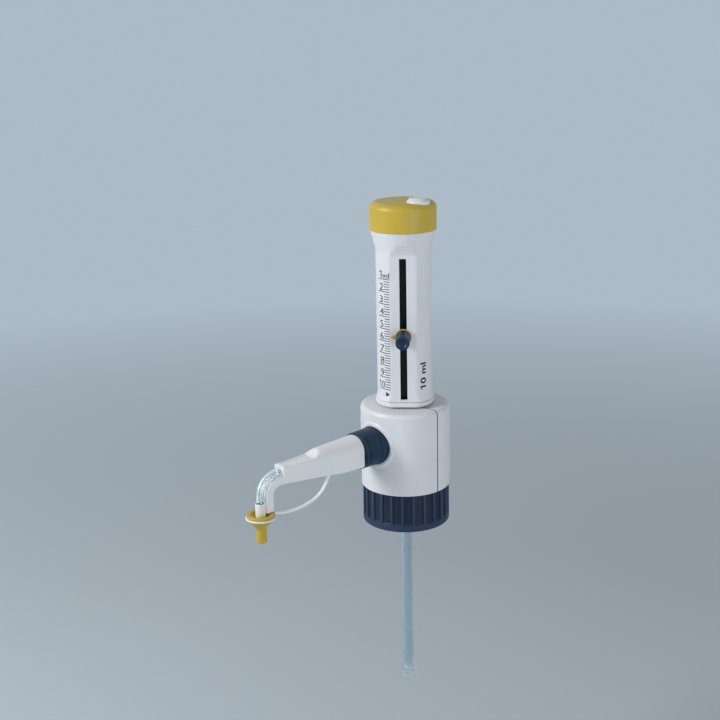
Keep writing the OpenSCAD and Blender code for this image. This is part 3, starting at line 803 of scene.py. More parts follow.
@dataclass
class Workshop:
    """Turns surfaces into pieces of the part: mesh, finish, body and the nodes they stand for."""

    materials: dict[str, bpy.types.Material] = field(default_factory=dict)
    made: list[str] = field(default_factory=list)

    def finish(self, kind: Slot | Dress) -> bpy.types.Material:
        """The material of a slot, an ink or another finish, made once.

        Args:
            kind: the slot or the finish.

        Returns:
            The material.
        """
        recipe = FINISHES[kind] if isinstance(kind, Slot) else kind
        if recipe.name not in self.materials:
            self.materials[recipe.name] = recipe.material()
        return self.materials[recipe.name]

    def piece(
        self,
        name: str,
        surface: Surface,
        body: Body,
        slot: Slot,
        stands_for: str = "",
        wall: float = 0.0,
        edge: float = 0.0,
        crest: Array | None = None,
        dress: Dress | None = None,
        rim: Dress | None = None,
        ends: tuple[Array, Array] | None = None,
    ) -> None:
        """Makes one piece and puts it on its body, or, where ends are given, bakes it in place on no body.

        Args:
            name: the piece's name.
            surface: its points and faces.
            body: the body it rides on, where no ends are given.
            slot: the record's material slot.
            stands_for: the node of the frame that it replaces, if any.
            wall: thickness to give an open skin, inwards.
            edge: width of the bevel on its sharp edges.
            crest: how much of the crest colour, a painted highlight, each point has.
            dress: a finish in place of the slot's own.
            rim: a finish of its own for the edge faces of a skin's wall.
            ends: where given, the piece is baked in place instead of riding on its body; the two points are not
                used.
        """
        obj = self.shape(name, surface, crest, is_skin=wall > 0)
        obj.data.materials.append(self.finish(dress or slot))
        if wall:
            solid = obj.modifiers.new("wall", "SOLIDIFY")
            solid.thickness, solid.offset = wall, -1
            if rim:
                obj.data.materials.append(self.finish(rim))
                solid.material_offset_rim = 1
        if edge:
            bevel = obj.modifiers.new("edges", "BEVEL")
            bevel.width, bevel.segments = edge, 2
            bevel.limit_method, bevel.angle_limit = "ANGLE", BEVEL_ANGLE
            bevel.use_clamp_overlap = True
        if ends:
            start, end = (tuple(map(float, place)) for place in ends)
            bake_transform(obj)
            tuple(start)
            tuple(end)
        else:
            obj.modifiers.new("even_shading", "WEIGHTED_NORMAL").keep_sharp = True
            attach(obj, body.value)
        if stands_for:
            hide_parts(stands_for)
        self.made.append(name)
        log.info("%s: %d faces on %s", name, len(obj.data.polygons), body.value)

    def shape(self, name: str, surface: Surface, crest: Array | None, is_skin: bool) -> bpy.types.Object:
        """Makes a mesh object, with its poles merged and its faces turned outwards.

        Args:
            name: the object's name.
            surface: points and faces.
            crest: the crest attribute, or None.
            is_skin: whether it is an open skin about the pump's axis.

        Returns:
            The object, linked to the scene.
        """
        mesh = bpy.data.meshes.new(name)
        faces = [quad if quad[2] != quad[3] else quad[:3] for quad in surface.quads.tolist()]
        mesh.from_pydata(surface.points.tolist(), [], faces)
        if crest is not None:
            share = mesh.attributes.new("crest", "FLOAT", "POINT")
            share.data.foreach_set("value", crest.astype(np.float32))
        bm = bmesh.new()
        bm.from_mesh(mesh)
        bmesh.ops.remove_doubles(bm, verts=bm.verts, dist=MERGE_DISTANCE)
        bmesh.ops.dissolve_degenerate(bm, edges=bm.edges, dist=MERGE_DISTANCE / 2)
        bmesh.ops.recalc_face_normals(bm, faces=bm.faces)
        bm.to_mesh(mesh)
        bm.free()
        if is_skin and self.faces_in(mesh):
            mesh.flip_normals()
        mesh.shade_smooth()
        mesh.set_sharp_from_angle(angle=SHARP_ANGLE)
        return shown(name, mesh)

    @staticmethod
    def faces_in(mesh: bpy.types.Mesh) -> bool:
        """Whether a skin's faces look towards the pump's axis, by the sum of normal . radius . area.

        Args:
            mesh: the skin's mesh.

        Returns:
            True where most of its faces look inwards.
        """
        count = len(mesh.polygons)
        centre, normal, area = (np.zeros(n * count, np.float32) for n in (3, 3, 1))
        mesh.polygons.foreach_get("center", centre)
        mesh.polygons.foreach_get("normal", normal)
        mesh.polygons.foreach_get("area", area)
        out = (centre.reshape(-1, 3) * normal.reshape(-1, 3))[:, :2].sum(1)
        return float((out * area).sum()) < 0

    def dress_frame(self) -> None:
        """Gives every node of the frame the finish of its slot."""
        for part in frame["record"]["subparts"]:
            node = frame["nodes"][part["node"]]
            node.data.materials.clear()
            node.data.materials.append(self.finish(Slot(part["material_slot"])))


@dataclass
class BottleNut:
    """The ribbed nut at the foot of the housing, with its inner thread."""

    ribs: int = 24
    rib_turn: float = math.radians(-5)
    rib_width: float = 1.5 * MM
    rib_flank: float = 0.45 * MM
    rib_height: float = 1.1 * MM
    band: float = 5.0 * MM
    # Share of the painted rib highlight on the plain band at the foot.
    band_tone: float = 0.6
    band_slope: float = 0.7 * MM
    band_margin: float = 1.05
    bore_margin: float = 1.02
    rib_taper: float = 0.1 * MM
    top_wall: float = 3.0 * MM
    pitch: float = 4.0 * MM
    ridge: float = 1.5 * MM
    turns: float = 3.6
    thread_foot: float = 2.2 * MM
    thread_fade: float = 0.15
    rings_per_turn: int = 72
    neck: float = 17.1 * MM

    def __post_init__(self) -> None:
        """Reads the outside, the height and the bore from the frame."""
        low, high = node_box("bottle_nut")
        self.radius = (high[0] - low[0]) / 2
        self.height = high[2]
        mount = next(m for m in frame["record"]["mounts"] if m["name"] == "bottle_thread")
        self.bore = mount["dims"]["r_mm"] * MM

    def build(self, shop: Workshop) -> None:
        """Makes the nut and its thread.

        Args:
            shop: where its pieces are made.
        """
        angle, crest = self.rib_angles()
        profile = self.profiles(crest)
        above_band = profile[..., 1] > self.band * self.band_margin
        outside = profile[..., 0] > self.bore * self.bore_margin
        # Painted light: the highlight colour on the rib crests and a share of it on the band, the darker base as
        # painted shade in the valleys and the bore.
        rib_painted_light = np.where(above_band, crest[:, None], self.band_tone) * outside
        nut, looks = turned_at(profile, angle), {"crest": rib_painted_light.ravel(), "dress": NUT_RIB_LIGHT_FINISH}
        shop.piece("bottle_nut_ribbed", nut, Body.NUT, Slot.NAVY, "bottle_nut", **looks)
        shop.piece("bottle_nut_thread", self.thread(), Body.NUT, Slot.NAVY, dress=NUT_RIB_LIGHT_FINISH)

    def rib_angles(self) -> tuple[Array, Array]:
        """Spreads the angles of a turn so that each rib's flanks are sampled.

        Returns:
            The angles, and how much of a rib stands at each, from 0 in a valley to 1 on a crest.
        """
        half = self.rib_width / 2
        near = half + np.linspace(0, self.rib_flank, 5)
        far = np.linspace(near[-1], TURN * self.radius / self.ribs / 2, 6)[1:-1]
        side = np.concatenate([[0.5 * half], near, far])
        offset = np.concatenate([-side[::-1], [0], side])
        crest = 1 - smooth_step(near[0], near[-1], np.abs(offset))
        middle = self.rib_turn + even_turn(self.ribs)[:, None]
        return (middle + offset / self.radius).ravel(), np.tile(crest, self.ribs)

    def profiles(self, crest: Array) -> Array:
        """The nut's closed profile at each angle, between the one in a valley and the one on a rib.

        Args:
            crest: how much of a rib stands at each angle.

        Returns:
            Radius and height, (angle, point, 2).
        """
        r, h, low = self.radius, self.height, self.radius - self.rib_height
        shared = [(self.bore, 0), (r, 0), (r, self.band - self.band_slope)]
        inside = [(self.neck, h), (self.neck, h - self.top_wall), (self.bore, h - self.top_wall)]
        valley = np.array(shared + [(low, self.band), (low, h)] + inside)
        rib = np.array(shared + [(r, self.band), (r - self.rib_taper, h)] + inside)
        corners = valley + crest[:, None, None] * (rib - valley)
        return rounded(corners, mm(0.4, 1.3, 0.4, 0.6, 0.7, 0.3, 0.2, 0.3), steps=5)

    def thread(self) -> Surface:
        """A ridge wound up the bore as a helix that fades at both ends.

        Returns:
            The ridge, closed at both ends.
        """
        t = np.linspace(0, self.turns, int(self.turns * self.rings_per_turn))
        fade = smooth_step(0, self.thread_fade, t) * smooth_step(0, self.thread_fade, self.turns - t)
        section = mm((0.05, -1.3), (-1.0, -0.45), (-1.0, 0.45), (0.05, 1.3))
        section = rounded(section, mm(0, 0.3, 0.3, 0), steps=4)
        radius = self.bore + section[:, 0] * (0.05 + 0.95 * fade[:, None]) * self.ridge / MM
        height = self.thread_foot + t[:, None] * self.pitch + section[:, 1]
        return closed_tube(polar(radius, t[:, None] * TURN, height))


@dataclass
class Housing:
    """The two white shells round the valve block, with the boss for the spout's nut."""

    wall: float = 2.5 * MM
    top_edge: float = 2.8 * MM
    foot_edge: float = 0.7 * MM
    seam: float = 0.34 * MM
    seam_edge: float = 0.26 * MM
    boss_rim: float = 1.4 * MM
    boss_rise: float = 0.7 * MM
    boss_fillet: float = 1.7 * MM
    boss_gap: float = 0.3 * MM
    patch_half_height: float = 16.4 * MM
    patch_half_turn: float = math.radians(41)
    patch_rows: int = 23
    floor_hole: float = 17.3 * MM
    sleeve_gap: float = 0.3 * MM
    edge_steps: int = 9

    def __post_init__(self) -> None:
        """Reads the shells' outside, the port and the nut's radius from the frame."""
        low, high = node_box("housing_rear")
        self.radius, self.foot, self.top = high[1], low[2], high[2]
        self.port = joint_axes("union_nut_turn")
        self.port_z = self.port.origin[2]
        self.patch_foot = self.port_z - self.patch_half_height
        self.patch_head = self.port_z + self.patch_half_height
        self.hole = radius_about("union_nut", self.port) + self.boss_gap
        self.top_hole = node_box("guide_sleeve")[1][0] + self.sleeve_gap

    def build(self, shop: Workshop) -> None:
        """Makes both shells.

        Args:
            shop: where its pieces are made.
        """
        for node, surface in (("housing_front", self.front()), ("housing_rear", self.rear())):
            # The walls' edge faces take the dark finish: painted shade in the seam and at the holes.
            looks = {"wall": self.wall, "edge": self.seam_edge, "rim": SEAM_SHADE_FACE}
            shop.piece(f"{node}_shell", surface, Body.HEAD, Slot.WHITE, node, **looks)

    def profile(self) -> Array:
        """Radius and height from the floor's hole, up the side and over the top to the sleeve's hole.

        Returns:
            Radius and height, (point, 2).
        """
        floor, side, roof = self.floor_hole, self.radius, self.top_hole
        corners = np.array([(floor, self.foot), (side, self.foot), (side, self.top), (roof, self.top)])
        radii = np.array([0, self.foot_edge, self.top_edge, 0])
        line = rounded(corners, radii, self.edge_steps, closed=False)
        rows = np.linspace(self.patch_foot, self.patch_head, self.patch_rows)
        wall = np.stack([np.full(rows.shape, self.radius), rows], -1)
        below = line[:, 1] < self.patch_foot
        below[-self.edge_steps :] = False
        return np.concatenate([line[below], wall, line[~below]])

    def split(self, points: Array, way: float) -> Array:
        """Draws a half back from the seam's plane, so that its outside stays where it is.

        Args:
            points: points of the half.
            way: 1 for the half in +X, -1 for the one in -X.

        Returns:
            The points, at least the seam's half width from x = 0.
        """
        x = way * (self.seam + np.abs(points[..., 0]) * (1 - self.seam / self.radius))
        return np.stack([x, points[..., 1], points[..., 2]], -1)

    def half_grid(self, angle: Array, way: float) -> Array:
        """Half of the turned shell.

        Args:
            angle: angles from the middle of the half.
            way: 1 for the half in +X, -1 for the one in -X.

        Returns:
            Points, (angle, profile point, 3).
        """
        r, z = self.profile().T
        return self.split(polar(r, angle[:, None], z) * np.array([way, way, 1]), way)

    def rear(self) -> Surface:
        """The plain rear shell."""
        angle = np.linspace(-TURN / 4, TURN / 4, 81)
        return grid_surface(self.half_grid(angle, 1.0))

    def front(self) -> Surface:
        """The front shell: a half turn with a window, and the boss's patch in the window.

        Returns:
            The open skin.
        """
        side = np.linspace(-TURN / 4, -self.patch_half_turn, 24)
        middle = np.linspace(-self.patch_half_turn, self.patch_half_turn, 37)
        angle = np.concatenate([side, middle[1:-1], -side[::-1]])
        grid = self.half_grid(angle, -1.0)
        r, z = self.profile().T
        rows = np.flatnonzero(np.isclose(r, self.radius))
        foot, head = (rows[np.argmin(np.abs(z[rows] - h))] for h in (self.patch_foot, self.patch_head))
        left, right = len(side) - 1, len(side) + len(middle) - 2
        keep = np.ones((grid.shape[0] - 1, grid.shape[1] - 1), bool)
        keep[left:right, foot:head] = False
        sole, end = grid[left:right, foot], grid[right, foot:head]
        roof, start = grid[right:left:-1, head], grid[left, head:foot:-1]
        border = np.concatenate([sole, end, roof, start])
        return joined(grid_surface(grid, keep=keep), self.boss_patch(border))

    def boss_patch(self, border: Array) -> Surface:
        """The boss round the port: rings about the port's axis that run out to the window's border.

        The rim's points run square to the port from the hole's edge, which stands proud of the shell
        by the boss's rise. From there a share that falls smoothly from 1 on the rim to 0 at the
        fillet's foot brings the points down to the shell.

        Args:
            border: the window's border in order, (point, 3).

        Returns:
            The patch.
        """
        around = np.arctan2(border[:, 2] - self.port_z, border[:, 1])
        rim = self.hole + self.boss_rim
        fillet = np.linspace(rim, rim + self.boss_fillet, 9)
        ring = np.concatenate([np.linspace(self.hole, rim, 4), fillet[1:]])
        ring_y, ring_z = ring[:, None] * np.cos(around), ring[:, None] * np.sin(around)
        share = 1 - smooth_step(rim - 0.2 * MM, fillet[-1], ring)[:, None]
        edge = np.sqrt((self.radius + self.boss_rise) ** 2 - ring_y[:1] ** 2)
        shell = np.sqrt(self.radius**2 - ring_y**2)
        x = -(shell + share * (edge - shell))
        rings = self.split(np.stack([x, ring_y, ring_z + self.port_z], -1), -1.0)
        return grid_surface(np.concatenate([rings, border[None]]), wrap_columns=True)


@dataclass
class LiftHandle:
    """The lift handle: slotted tube with a flat front, foot ring, yellow cap and its white cover."""

    wall: float = 1.8 * MM
    facet: float = 15.06 * MM
    crease: float = 0.5 * MM
    foot_flare: float = 0.9 * MM
    foot_flare_height: float = 3.6 * MM
    slot_half: float = 2.15 * MM
    slot_foot: float = 1.4 * MM
    slot_length: float = 89.4 * MM
    flare_foot: float = 3.4 * MM
    flare_ease: float = 0.12
    fade_start: float = -2.0 * MM
    fade_height: float = 9.0 * MM
    fade_out: float = 4.5 * MM
    lip: float = 1.3 * MM
    lip_gap: float = 0.3 * MM
    cap_wall: float = 2.0 * MM
    cap_edge: float = 4.2 * MM
    cap_roof: float = 3.2 * MM
    cover_bevel: float = 2.2 * MM
    cover_bevel_height: float = 1.8 * MM
    key_hole_radius: float = 0.6 * MM
    key_hole_depth: float = 0.9 * MM
    key_hole_offset: float = 1.7 * MM
    dish_inset: float = 3.4 * MM
    dish_depth: float = 0.25 * MM
    dish_slope: float = 0.6 * MM
    slot_edge: float = 0.25 * MM
    spigot_gap: float = 0.05 * MM
    sleeve_gap: float = 0.08 * MM
    least_cosine: float = 0.2

    def __post_init__(self) -> None:
        """Reads the tube's foot, the cap's box and the radii from the frame."""
        ring_low, ring_high = node_box("guide_ring")
        self.foot = node_box("handle_tube")[0][2]
        self.lip_foot = ring_low[2]
        self.radius = ring_high[0] - self.lip
        cap_low, cap_high = node_box("top_cap")
        self.cap_radius, self.cap_foot, self.cap_top = cap_high[0], cap_low[2], cap_high[2]
        self.flare_radius = node_box("handle_tube")[1][0]
        self.slot_z = self.foot + self.slot_foot
        self.slot_top = self.slot_z + self.slot_length
        self.flare_z = self.slot_top + self.flare_foot
        self.front = joint_axes("knob_turn").z
        self.facing = math.atan2(self.front[1], self.front[0])

    def build(self, shop: Workshop) -> None:
        """Makes the tube, the foot ring, the cap and the cover.

        Args:
            shop: where its pieces are made.
        """
        skin = {"wall": self.wall, "edge": self.slot_edge}
        for name, surface, slot, node, looks in (
            ("handle_tube_slotted", self.tube(), Slot.WHITE, "handle_tube", skin),
            ("handle_foot_ring", self.foot_ring(), Slot.WHITE, "guide_ring", {}),
            ("handle_cap", self.cap(), Slot.YELLOW, "top_cap", {}),
            ("handle_cap_cover", self.cover(), Slot.WHITE, "calibration_cover", {}),
        ):
            shop.piece(name, surface, Body.HANDLE, slot, node, **looks)

    def section(self, radius: Array, flat: Array, angle: Array) -> Array:
        """A circle cut by a flat, with the crease between them rounded.

        The flat is met at its distance over the cosine of the angle.

        Args:
            radius: the circle's radius.
            flat: the flat's distance from the axis.
            angle: angle from the flat's normal.

        Returns:
            The radius at each angle.
        """
        return soft_min(radius, flat / np.maximum(np.cos(angle), self.least_cosine), self.crease)

    def outside(self, angle: Array, z: Array) -> Array:
        """The tube's outer radius: a circle cut by the flat front, which fades out on the flare.

        Args:
            angle: angle from the flat's normal.
            z: height.

        Returns:
            The radius.
        """
        foot = self.foot_flare * (1 - smooth_step(0, self.foot_flare_height, z - self.foot))
        rise = np.clip((z - self.flare_z) / (self.cap_foot - self.flare_z), 0, 1)
        ease = self.flare_ease
        rise = np.where(rise < ease, rise**2 / (2 * ease), rise - ease / 2) / (1 - ease / 2)
        round_part = self.radius + foot + (self.flare_radius - self.radius) * rise
        fade = np.clip((z - self.flare_z - self.fade_start) / self.fade_height, 0, 2)
        flat = self.facet + self.fade_out * fade**1.4
        return self.section(round_part, flat, angle)

    def angles(self) -> Array:
        """Angles round the section, close together at the flat's creases and at the slot's edges.

        Returns:
            Angles from the flat's normal, in order round the tube.
        """
        slot = math.atan2(self.slot_half, self.facet)
        crease = math.acos(self.facet / self.radius)
        half = np.concatenate(
            [
                np.linspace(slot, crease - 0.06, 6),
                np.linspace(crease - 0.05, crease + 0.05, 9),
                np.linspace(crease + 0.06, math.pi, 52),
            ]
        )
        return np.concatenate([-half[:0:-1], [-slot, 0, slot], half[1:-1]])

    def tube(self) -> Surface:
        """The tube's skin, with the slot left out of its flat front.

        Returns:
            The open skin.
        """
        angle = self.angles()
        z = np.concatenate(
            [
                np.linspace(self.foot, self.foot + self.foot_flare_height, 7)[:-1],
                np.linspace(self.foot + self.foot_flare_height, self.slot_top, 30),
                np.linspace(self.slot_top, self.cap_foot, 26)[1:],
            ]
        )
        z = np.unique(np.append(z, self.slot_z).round(9))
        r = self.outside(angle[None], z[:, None])
        grid = polar(r, angle + self.facing, z[:, None])
        slot = math.atan2(self.slot_half, self.facet)
        low_z, high_z = z[:-1, None], z[1:, None]
        gap = np.append(angle, angle[0] + TURN)
        in_rows = (low_z > self.slot_z - TOLERANCE) & (high_z < self.slot_top + TOLERANCE)
        in_columns = (gap[None, :-1] > -slot - TOLERANCE) & (gap[None, 1:] < slot + TOLERANCE)
        return grid_surface(grid, wrap_columns=True, keep=~(in_rows & in_columns))

    def foot_ring(self) -> Surface:
        """The lip ring: a closed profile round the sleeve, whose outside follows the tube's section.

        Returns:
            The closed ring.
        """
        angle = self.angles()
        bore = node_box("guide_sleeve")[1][0] + self.sleeve_gap
        inset = self.wall + self.spigot_gap
        lip = self.section(self.radius + self.lip, self.facet + self.lip, angle)
        spigot = self.section(self.radius - inset, self.facet - inset, angle)
        low, mid, top = self.lip_foot, self.foot - self.lip_gap, self.slot_z - 0.2 * MM
        rows = [(bore, low), (lip, low), (lip, mid), (spigot, mid), (spigot, top), (bore, top)]
        profile = rounded(corners_at(angle, rows), mm(0.3, 0.8, 0.7, 0.1, 0.3, 0.2), steps=5)
        return turned_at(profile, angle + self.facing)

    def cap(self) -> Surface:
        """The cap: a cup with a well rounded top edge and a flat top.

        Returns:
            The closed cup.
        """
        r, low, top = self.cap_radius, self.cap_foot, self.cap_top
        inner, roof = r - self.cap_wall, top - self.cap_roof
        inside = [(0, roof), (inner, roof), (inner, low)]
        outside = [(r - 0.1 * MM, low), (r, top), (0.4 * r, top), (0, top)]
        eases = [0, 1.0, 0.3, 0.7, self.cap_edge / MM, 0, 0]
        return turned(inside + outside, eases, steps=12, segments=160, closed=False)

    def cover(self) -> Surface:
        """The white cover: a low cone with a soft edge, a shallow dish and two blind holes for a key.

        The dish's rings are close together, and each hole sinks them by its depth times a share that
        falls from 1 inside its radius to 0 a little outside it.

        Returns:
            The closed disc.
        """
        low, high = node_box("calibration_cover")
        middle = np.append(((low + high) / 2)[:2], 0)
        r, foot, top = (high[0] - low[0]) / 2, low[2], high[2]
        dish, floor = r - self.dish_inset, top - self.dish_depth
        side, brim = top - self.cover_bevel_height, r - self.cover_bevel
        outside = [(0, foot), (r, foot), (r, side), (brim, top)]
        corners = np.array(outside + [(dish + self.dish_slope, top), (dish, floor)])
        edge = rounded(corners, mm(0, 0.2, 0.5, 0.6, 0.3, 0), steps=5, closed=False)
        rings = np.linspace(dish, 0, 28)[1:]
        profile = np.concatenate([edge, np.stack([rings, np.full(rings.shape, floor)], -1)])
        surface = spun(profile, Axes(middle, *np.eye(3)), segments=128, closed=False)
        points = surface.points.copy()
        across = np.array([-self.front[1], self.front[0], 0])
        for side in (-1, 1):
            hole = middle + side * self.key_hole_offset * across
            away = np.hypot(*(points - hole)[:, :2].T)
            share = 1 - smooth_step(0.75 * self.key_hole_radius, 1.1 * self.key_hole_radius, away)
            sunk = points[:, 2] > floor - TOLERANCE
            points[:, 2] -= np.where(sunk, share * self.key_hole_depth, 0)
        return Surface(points, surface.quads)


@dataclass
class VolumeSlider:
    """The pointer washer and the clamping knob on the handle's flat front."""

    pointer_half: float = 2.3 * MM
    knob_edge: float = 0.9 * MM
    knob_taper: float = 0.4 * MM
    flutes: int = 24
    flute_depth: float = 0.12 * MM
    points_per_flute: int = 8
    collar: float = 1.6 * MM
    groove_depth: float = 0.25 * MM
    groove_foot: float = 2.0 * MM
    barrel_foot: float = 2.6 * MM
    barrel_top: float = 1.4 * MM
    end_rim: float = 1.3 * MM
    dish_depth: float = 1.0 * MM
    stud_depth: float = 0.5 * MM
    washer_bore: float = 1.6 * MM
    pointer_root: float = 1.2 * MM
    pointer_blend: float = 0.4 * MM
    pointer_reach: float = 0.6

    def __post_init__(self) -> None:
        """Reads the stud's axis and the two pieces' sizes from the frame."""
        self.axes = joint_axes("knob_turn")
        self.knob_span = span_along("slider_knob", self.axes)
        self.knob_radius = radius_about("slider_knob", self.axes)
        self.washer_span = span_along("pointer_washer", self.axes)
        self.pointer = radius_about("pointer_washer", self.axes)
        self.washer_radius = node_box("pointer_washer")[1][2] - self.axes.origin[2]

    def build(self, shop: Workshop) -> None:
        """Makes the washer and the knob."""
        shop.piece("pointer_washer_yellow", self.washer(), Body.SLIDER, Slot.YELLOW, "pointer_washer")
        shop.piece("slider_knob_fluted", self.knob(), Body.KNOB, Slot.NAVY, "slider_knob")

    def washer(self) -> Surface:
        """A ring whose outside runs out to a point on one side, towards the scale.

        The outside is the larger of the circle and the two edges of the pointer's triangle. An edge
        from (0, pointer) to (half, root) is met at angle b from the pointer at radius
        pointer * half / (half cos b + (pointer - root) sin b).

        Returns:
            The closed washer.
        """
        fine = TURN / 4 + np.linspace(-0.5, 0.5, 33)
        angle = np.sort(np.concatenate([np.linspace(0, TURN, 73)[:-1], fine]))
        from_point = np.abs(angle - TURN / 4)
        root = self.washer_radius - self.pointer_root
        edge = self.pointer_half * np.cos(from_point) + (self.pointer - root) * np.sin(from_point)
        beak = self.pointer * self.pointer_half / np.maximum(edge, TOLERANCE)
        beak = np.where(from_point < self.pointer_reach, beak, 0)
        outside = -soft_min(-np.full(angle.shape, self.washer_radius), -beak, self.pointer_blend)
        outside = np.minimum(outside, self.pointer)
        (low, high), bore = self.washer_span, self.washer_bore
        corners = corners_at(angle, [(bore, low), (outside, low), (outside, high), (bore, high)])
        return turned_at(rounded(corners, mm(0.1, 0.25, 0.35, 0.1), steps=4), angle, self.axes)

    def knob(self) -> Surface:
        """A blunt knob with fine flutes on its barrel, a plain collar and a dished end.

        Returns:
            The closed knob.
        """
        angle = even_turn(self.flutes * self.points_per_flute)
        low, high = self.knob_span
        r, end = self.knob_radius, self.knob_radius - self.knob_taper
        dip = self.flute_depth * (0.5 - 0.5 * np.cos(self.flutes * angle))
        rows = [
            (0, low),
            (r - 0.1 * MM, low),
            (r, low + self.collar),
            (r - self.groove_depth, low + self.groove_foot),
            (r - 0.05 * MM - dip, low + self.barrel_foot),
            (end - dip, high - self.barrel_top),
            (end, high),
            (end - self.end_rim, high),
            (1.7 * MM, high - self.dish_depth),
            (0.9 * MM, high - self.dish_depth),
            (0.7 * MM, high - self.stud_depth),
            (0, high - self.stud_depth),
        ]
        radii = mm(0, 0.3, 0.25, 0.2, 0.3, 0.5, self.knob_edge / MM, 0.4, 0.4, 0.2, 0.2, 0)
        profile = rounded(corners_at(angle, rows), radii, steps=5, closed=False)
        return turned_at(profile, angle, self.axes, closed=False)


@dataclass
class Spout:
    """The spout: its nut, body with curved arm, clear tube and tip cap."""

    root: float = 44.3 * MM
    root_edge: float = 0.7 * MM
    step: float = 80.0 * MM
    collar: float = 101.6 * MM
    collar_rise: float = 0.5 * MM
    panel_dip: float = 0.35 * MM
    panel_rim: float = 0.9 * MM
    bend: float = 13.0 * MM
    bend_rise: float = 9.4 * MM
    clip_height: float = 6.3 * MM
    tube_radius: float = 2.1 * MM
    tube_bore: float = 0.8 * MM
    tube_start: float = 40.05 * MM
    arm_thickness: float = 5.6 * MM
    arm_half: float = 3.7 * MM
    neck_radius: float = 6.8 * MM
    clip_radius: float = 3.0 * MM
    clip_depth: float = 3.0 * MM
    groove_rim: float = 1.7 * MM
    groove: float = 1.2 * MM
    groove_depth: float = 1.0 * MM
    union_bore: float = 9.08 * MM
    union_taper: float = 0.5 * MM
    union_flange: float = 1.65 * MM
    union_gap: float = 0.3 * MM
    line_near: float = 5.6 * MM
    line_far: float = 3.0 * MM
    line_depth: float = 0.4 * MM
    line_half: float = 0.35 * MM
    flange_radius: float = 8.5 * MM
    flange_width: float = 2.0 * MM
    station_round: float = 0.8 * MM
    end_height: float = 10.6 * MM
    arm_root: float = 6.0 * MM
    arm_edge: float = 1.1 * MM
    arm_gap: float = 0.3 * MM
    lip_height: float = 0.8 * MM
    lip_inset: float = 0.6 * MM
    cone_height: float = 5.2 * MM
    mouth: float = 2.2 * MM
    socket_gap: float = 0.08 * MM
    tube_gap: float = 0.3 * MM
    clip_gap: float = 0.05 * MM
    stem: float = 3.2 * MM
    stem_floor: float = 2.0 * MM

    def __post_init__(self) -> None:
        """Reads the port, the tip's axis and the tip cap's height from the frame."""
        self.port = joint_axes("union_nut_turn")
        cap_low, cap_high = node_box("tip_cap")
        self.reach = -(cap_low[0] + cap_high[0]) / 2
        self.tip_rim, self.tip_foot = cap_high[2], cap_low[2]
        self.tip_radius = (cap_high[0] - cap_low[0]) / 2
        self.bend_x, self.bend_z = self.reach - self.bend, self.tip_rim + self.bend_rise
        self.side = np.array([0.0, 1.0, 0.0])
        self.arm_mid = self.bend - self.tube_radius - self.arm_thickness / 2
        self.end = self.bend_x - 2.0 * MM
        self.tip = Axes(np.array([-self.reach, 0, 0]), *np.eye(3))

    def build(self, shop: Workshop) -> None:
        """Makes the spout's pieces.

        Args:
            shop: where its pieces are made.
        """
        body = joined(self.neck(), self.shell(), self.arm(), self.clip())
        # The spout's moulding takes the lighter white copy: painted light.
        for name, surface, rides_on, slot, node, dress in (
            ("spout_union_nut", self.union_nut(), Body.UNION, Slot.NAVY, "union_nut", None),
            ("spout_moulding", body, Body.HEAD, Slot.WHITE, "spout_body", SPOUT_LIT_WHITE),
            ("spout_tube", self.tube(), Body.HEAD, Slot.CLEAR, "discharge_tube", None),
            ("spout_tip_cap", self.tip_cap(), Body.TIP, Slot.YELLOW, "tip_cap", None),
        ):
            shop.piece(name, surface, rides_on, slot, node, dress=dress)

    def union_nut(self) -> Surface:
        """The smooth union nut: a slight taper, eased ends and a fine groove near each end.

        Returns:
            The closed nut.
        """
        low, high = span_along("union_nut", self.port)
        r, slim, inner = radius_about("union_nut", self.port), self.union_taper, self.union_bore
        hole, stop = self.neck_radius + self.union_gap, high - self.union_flange
        depth, half = self.line_depth, self.line_half
        rows, eases = [(inner, low), (r, low)], [0.3, 0.9]
        for line in (low + self.line_near, high - self.line_far):
            wall = r - slim * (line - low) / (high - low)
            rows += [(wall, line - half), (wall - depth, line - 0.7 * half)]
            rows += [(wall - depth, line + 0.7 * half), (wall, line + half)]
            eases += [0.15, 0.1, 0.1, 0.15]
        rows += [(r - slim, high), (hole, high), (hole, stop), (inner, stop)]
        eases += [0.8, 0.3, 0.2, 0.2]
        return turned(rows, eases, self.port, steps=6, segments=144)

    def neck(self) -> Surface:
        """The short neck that runs into the union nut.

        Returns:
            The closed neck.
        """
        start, end = self.tube_start, self.root + 2 * MM
        step, flange, neck = start + self.flange_width, self.flange_radius, self.neck_radius
        rows = [(0, start), (flange, start), (flange, step), (neck, step), (neck, end), (0, end)]
        return turned(rows, [0, 0.3, 0.3, 0.3, 0, 0], self.port, steps=4, segments=64, closed=False)

    def stations(self) -> Array:
        """Sizes at the spout's root, waist, shoulder, step and end.

        Returns:
            Distance, half width, top, foot and arch radius, (station, 5).
        """
        end_foot = self.bend_z + self.arm_mid - self.arm_thickness / 2
        return np.array(
            [
                (self.root, *mm(9.3, 66.9, 47.7, 9.0)),
                mm(60.0, 8.1, 66.5, 47.95, 7.7),
                mm(75.5, 6.5, 66.15, 49.46, 6.1),
                (self.step, *mm(6.0, 62.87, 49.9, 1.0)),
                (self.end, 4.3 * MM, end_foot + self.end_height, end_foot, 1.0 * MM),
            ]
        )

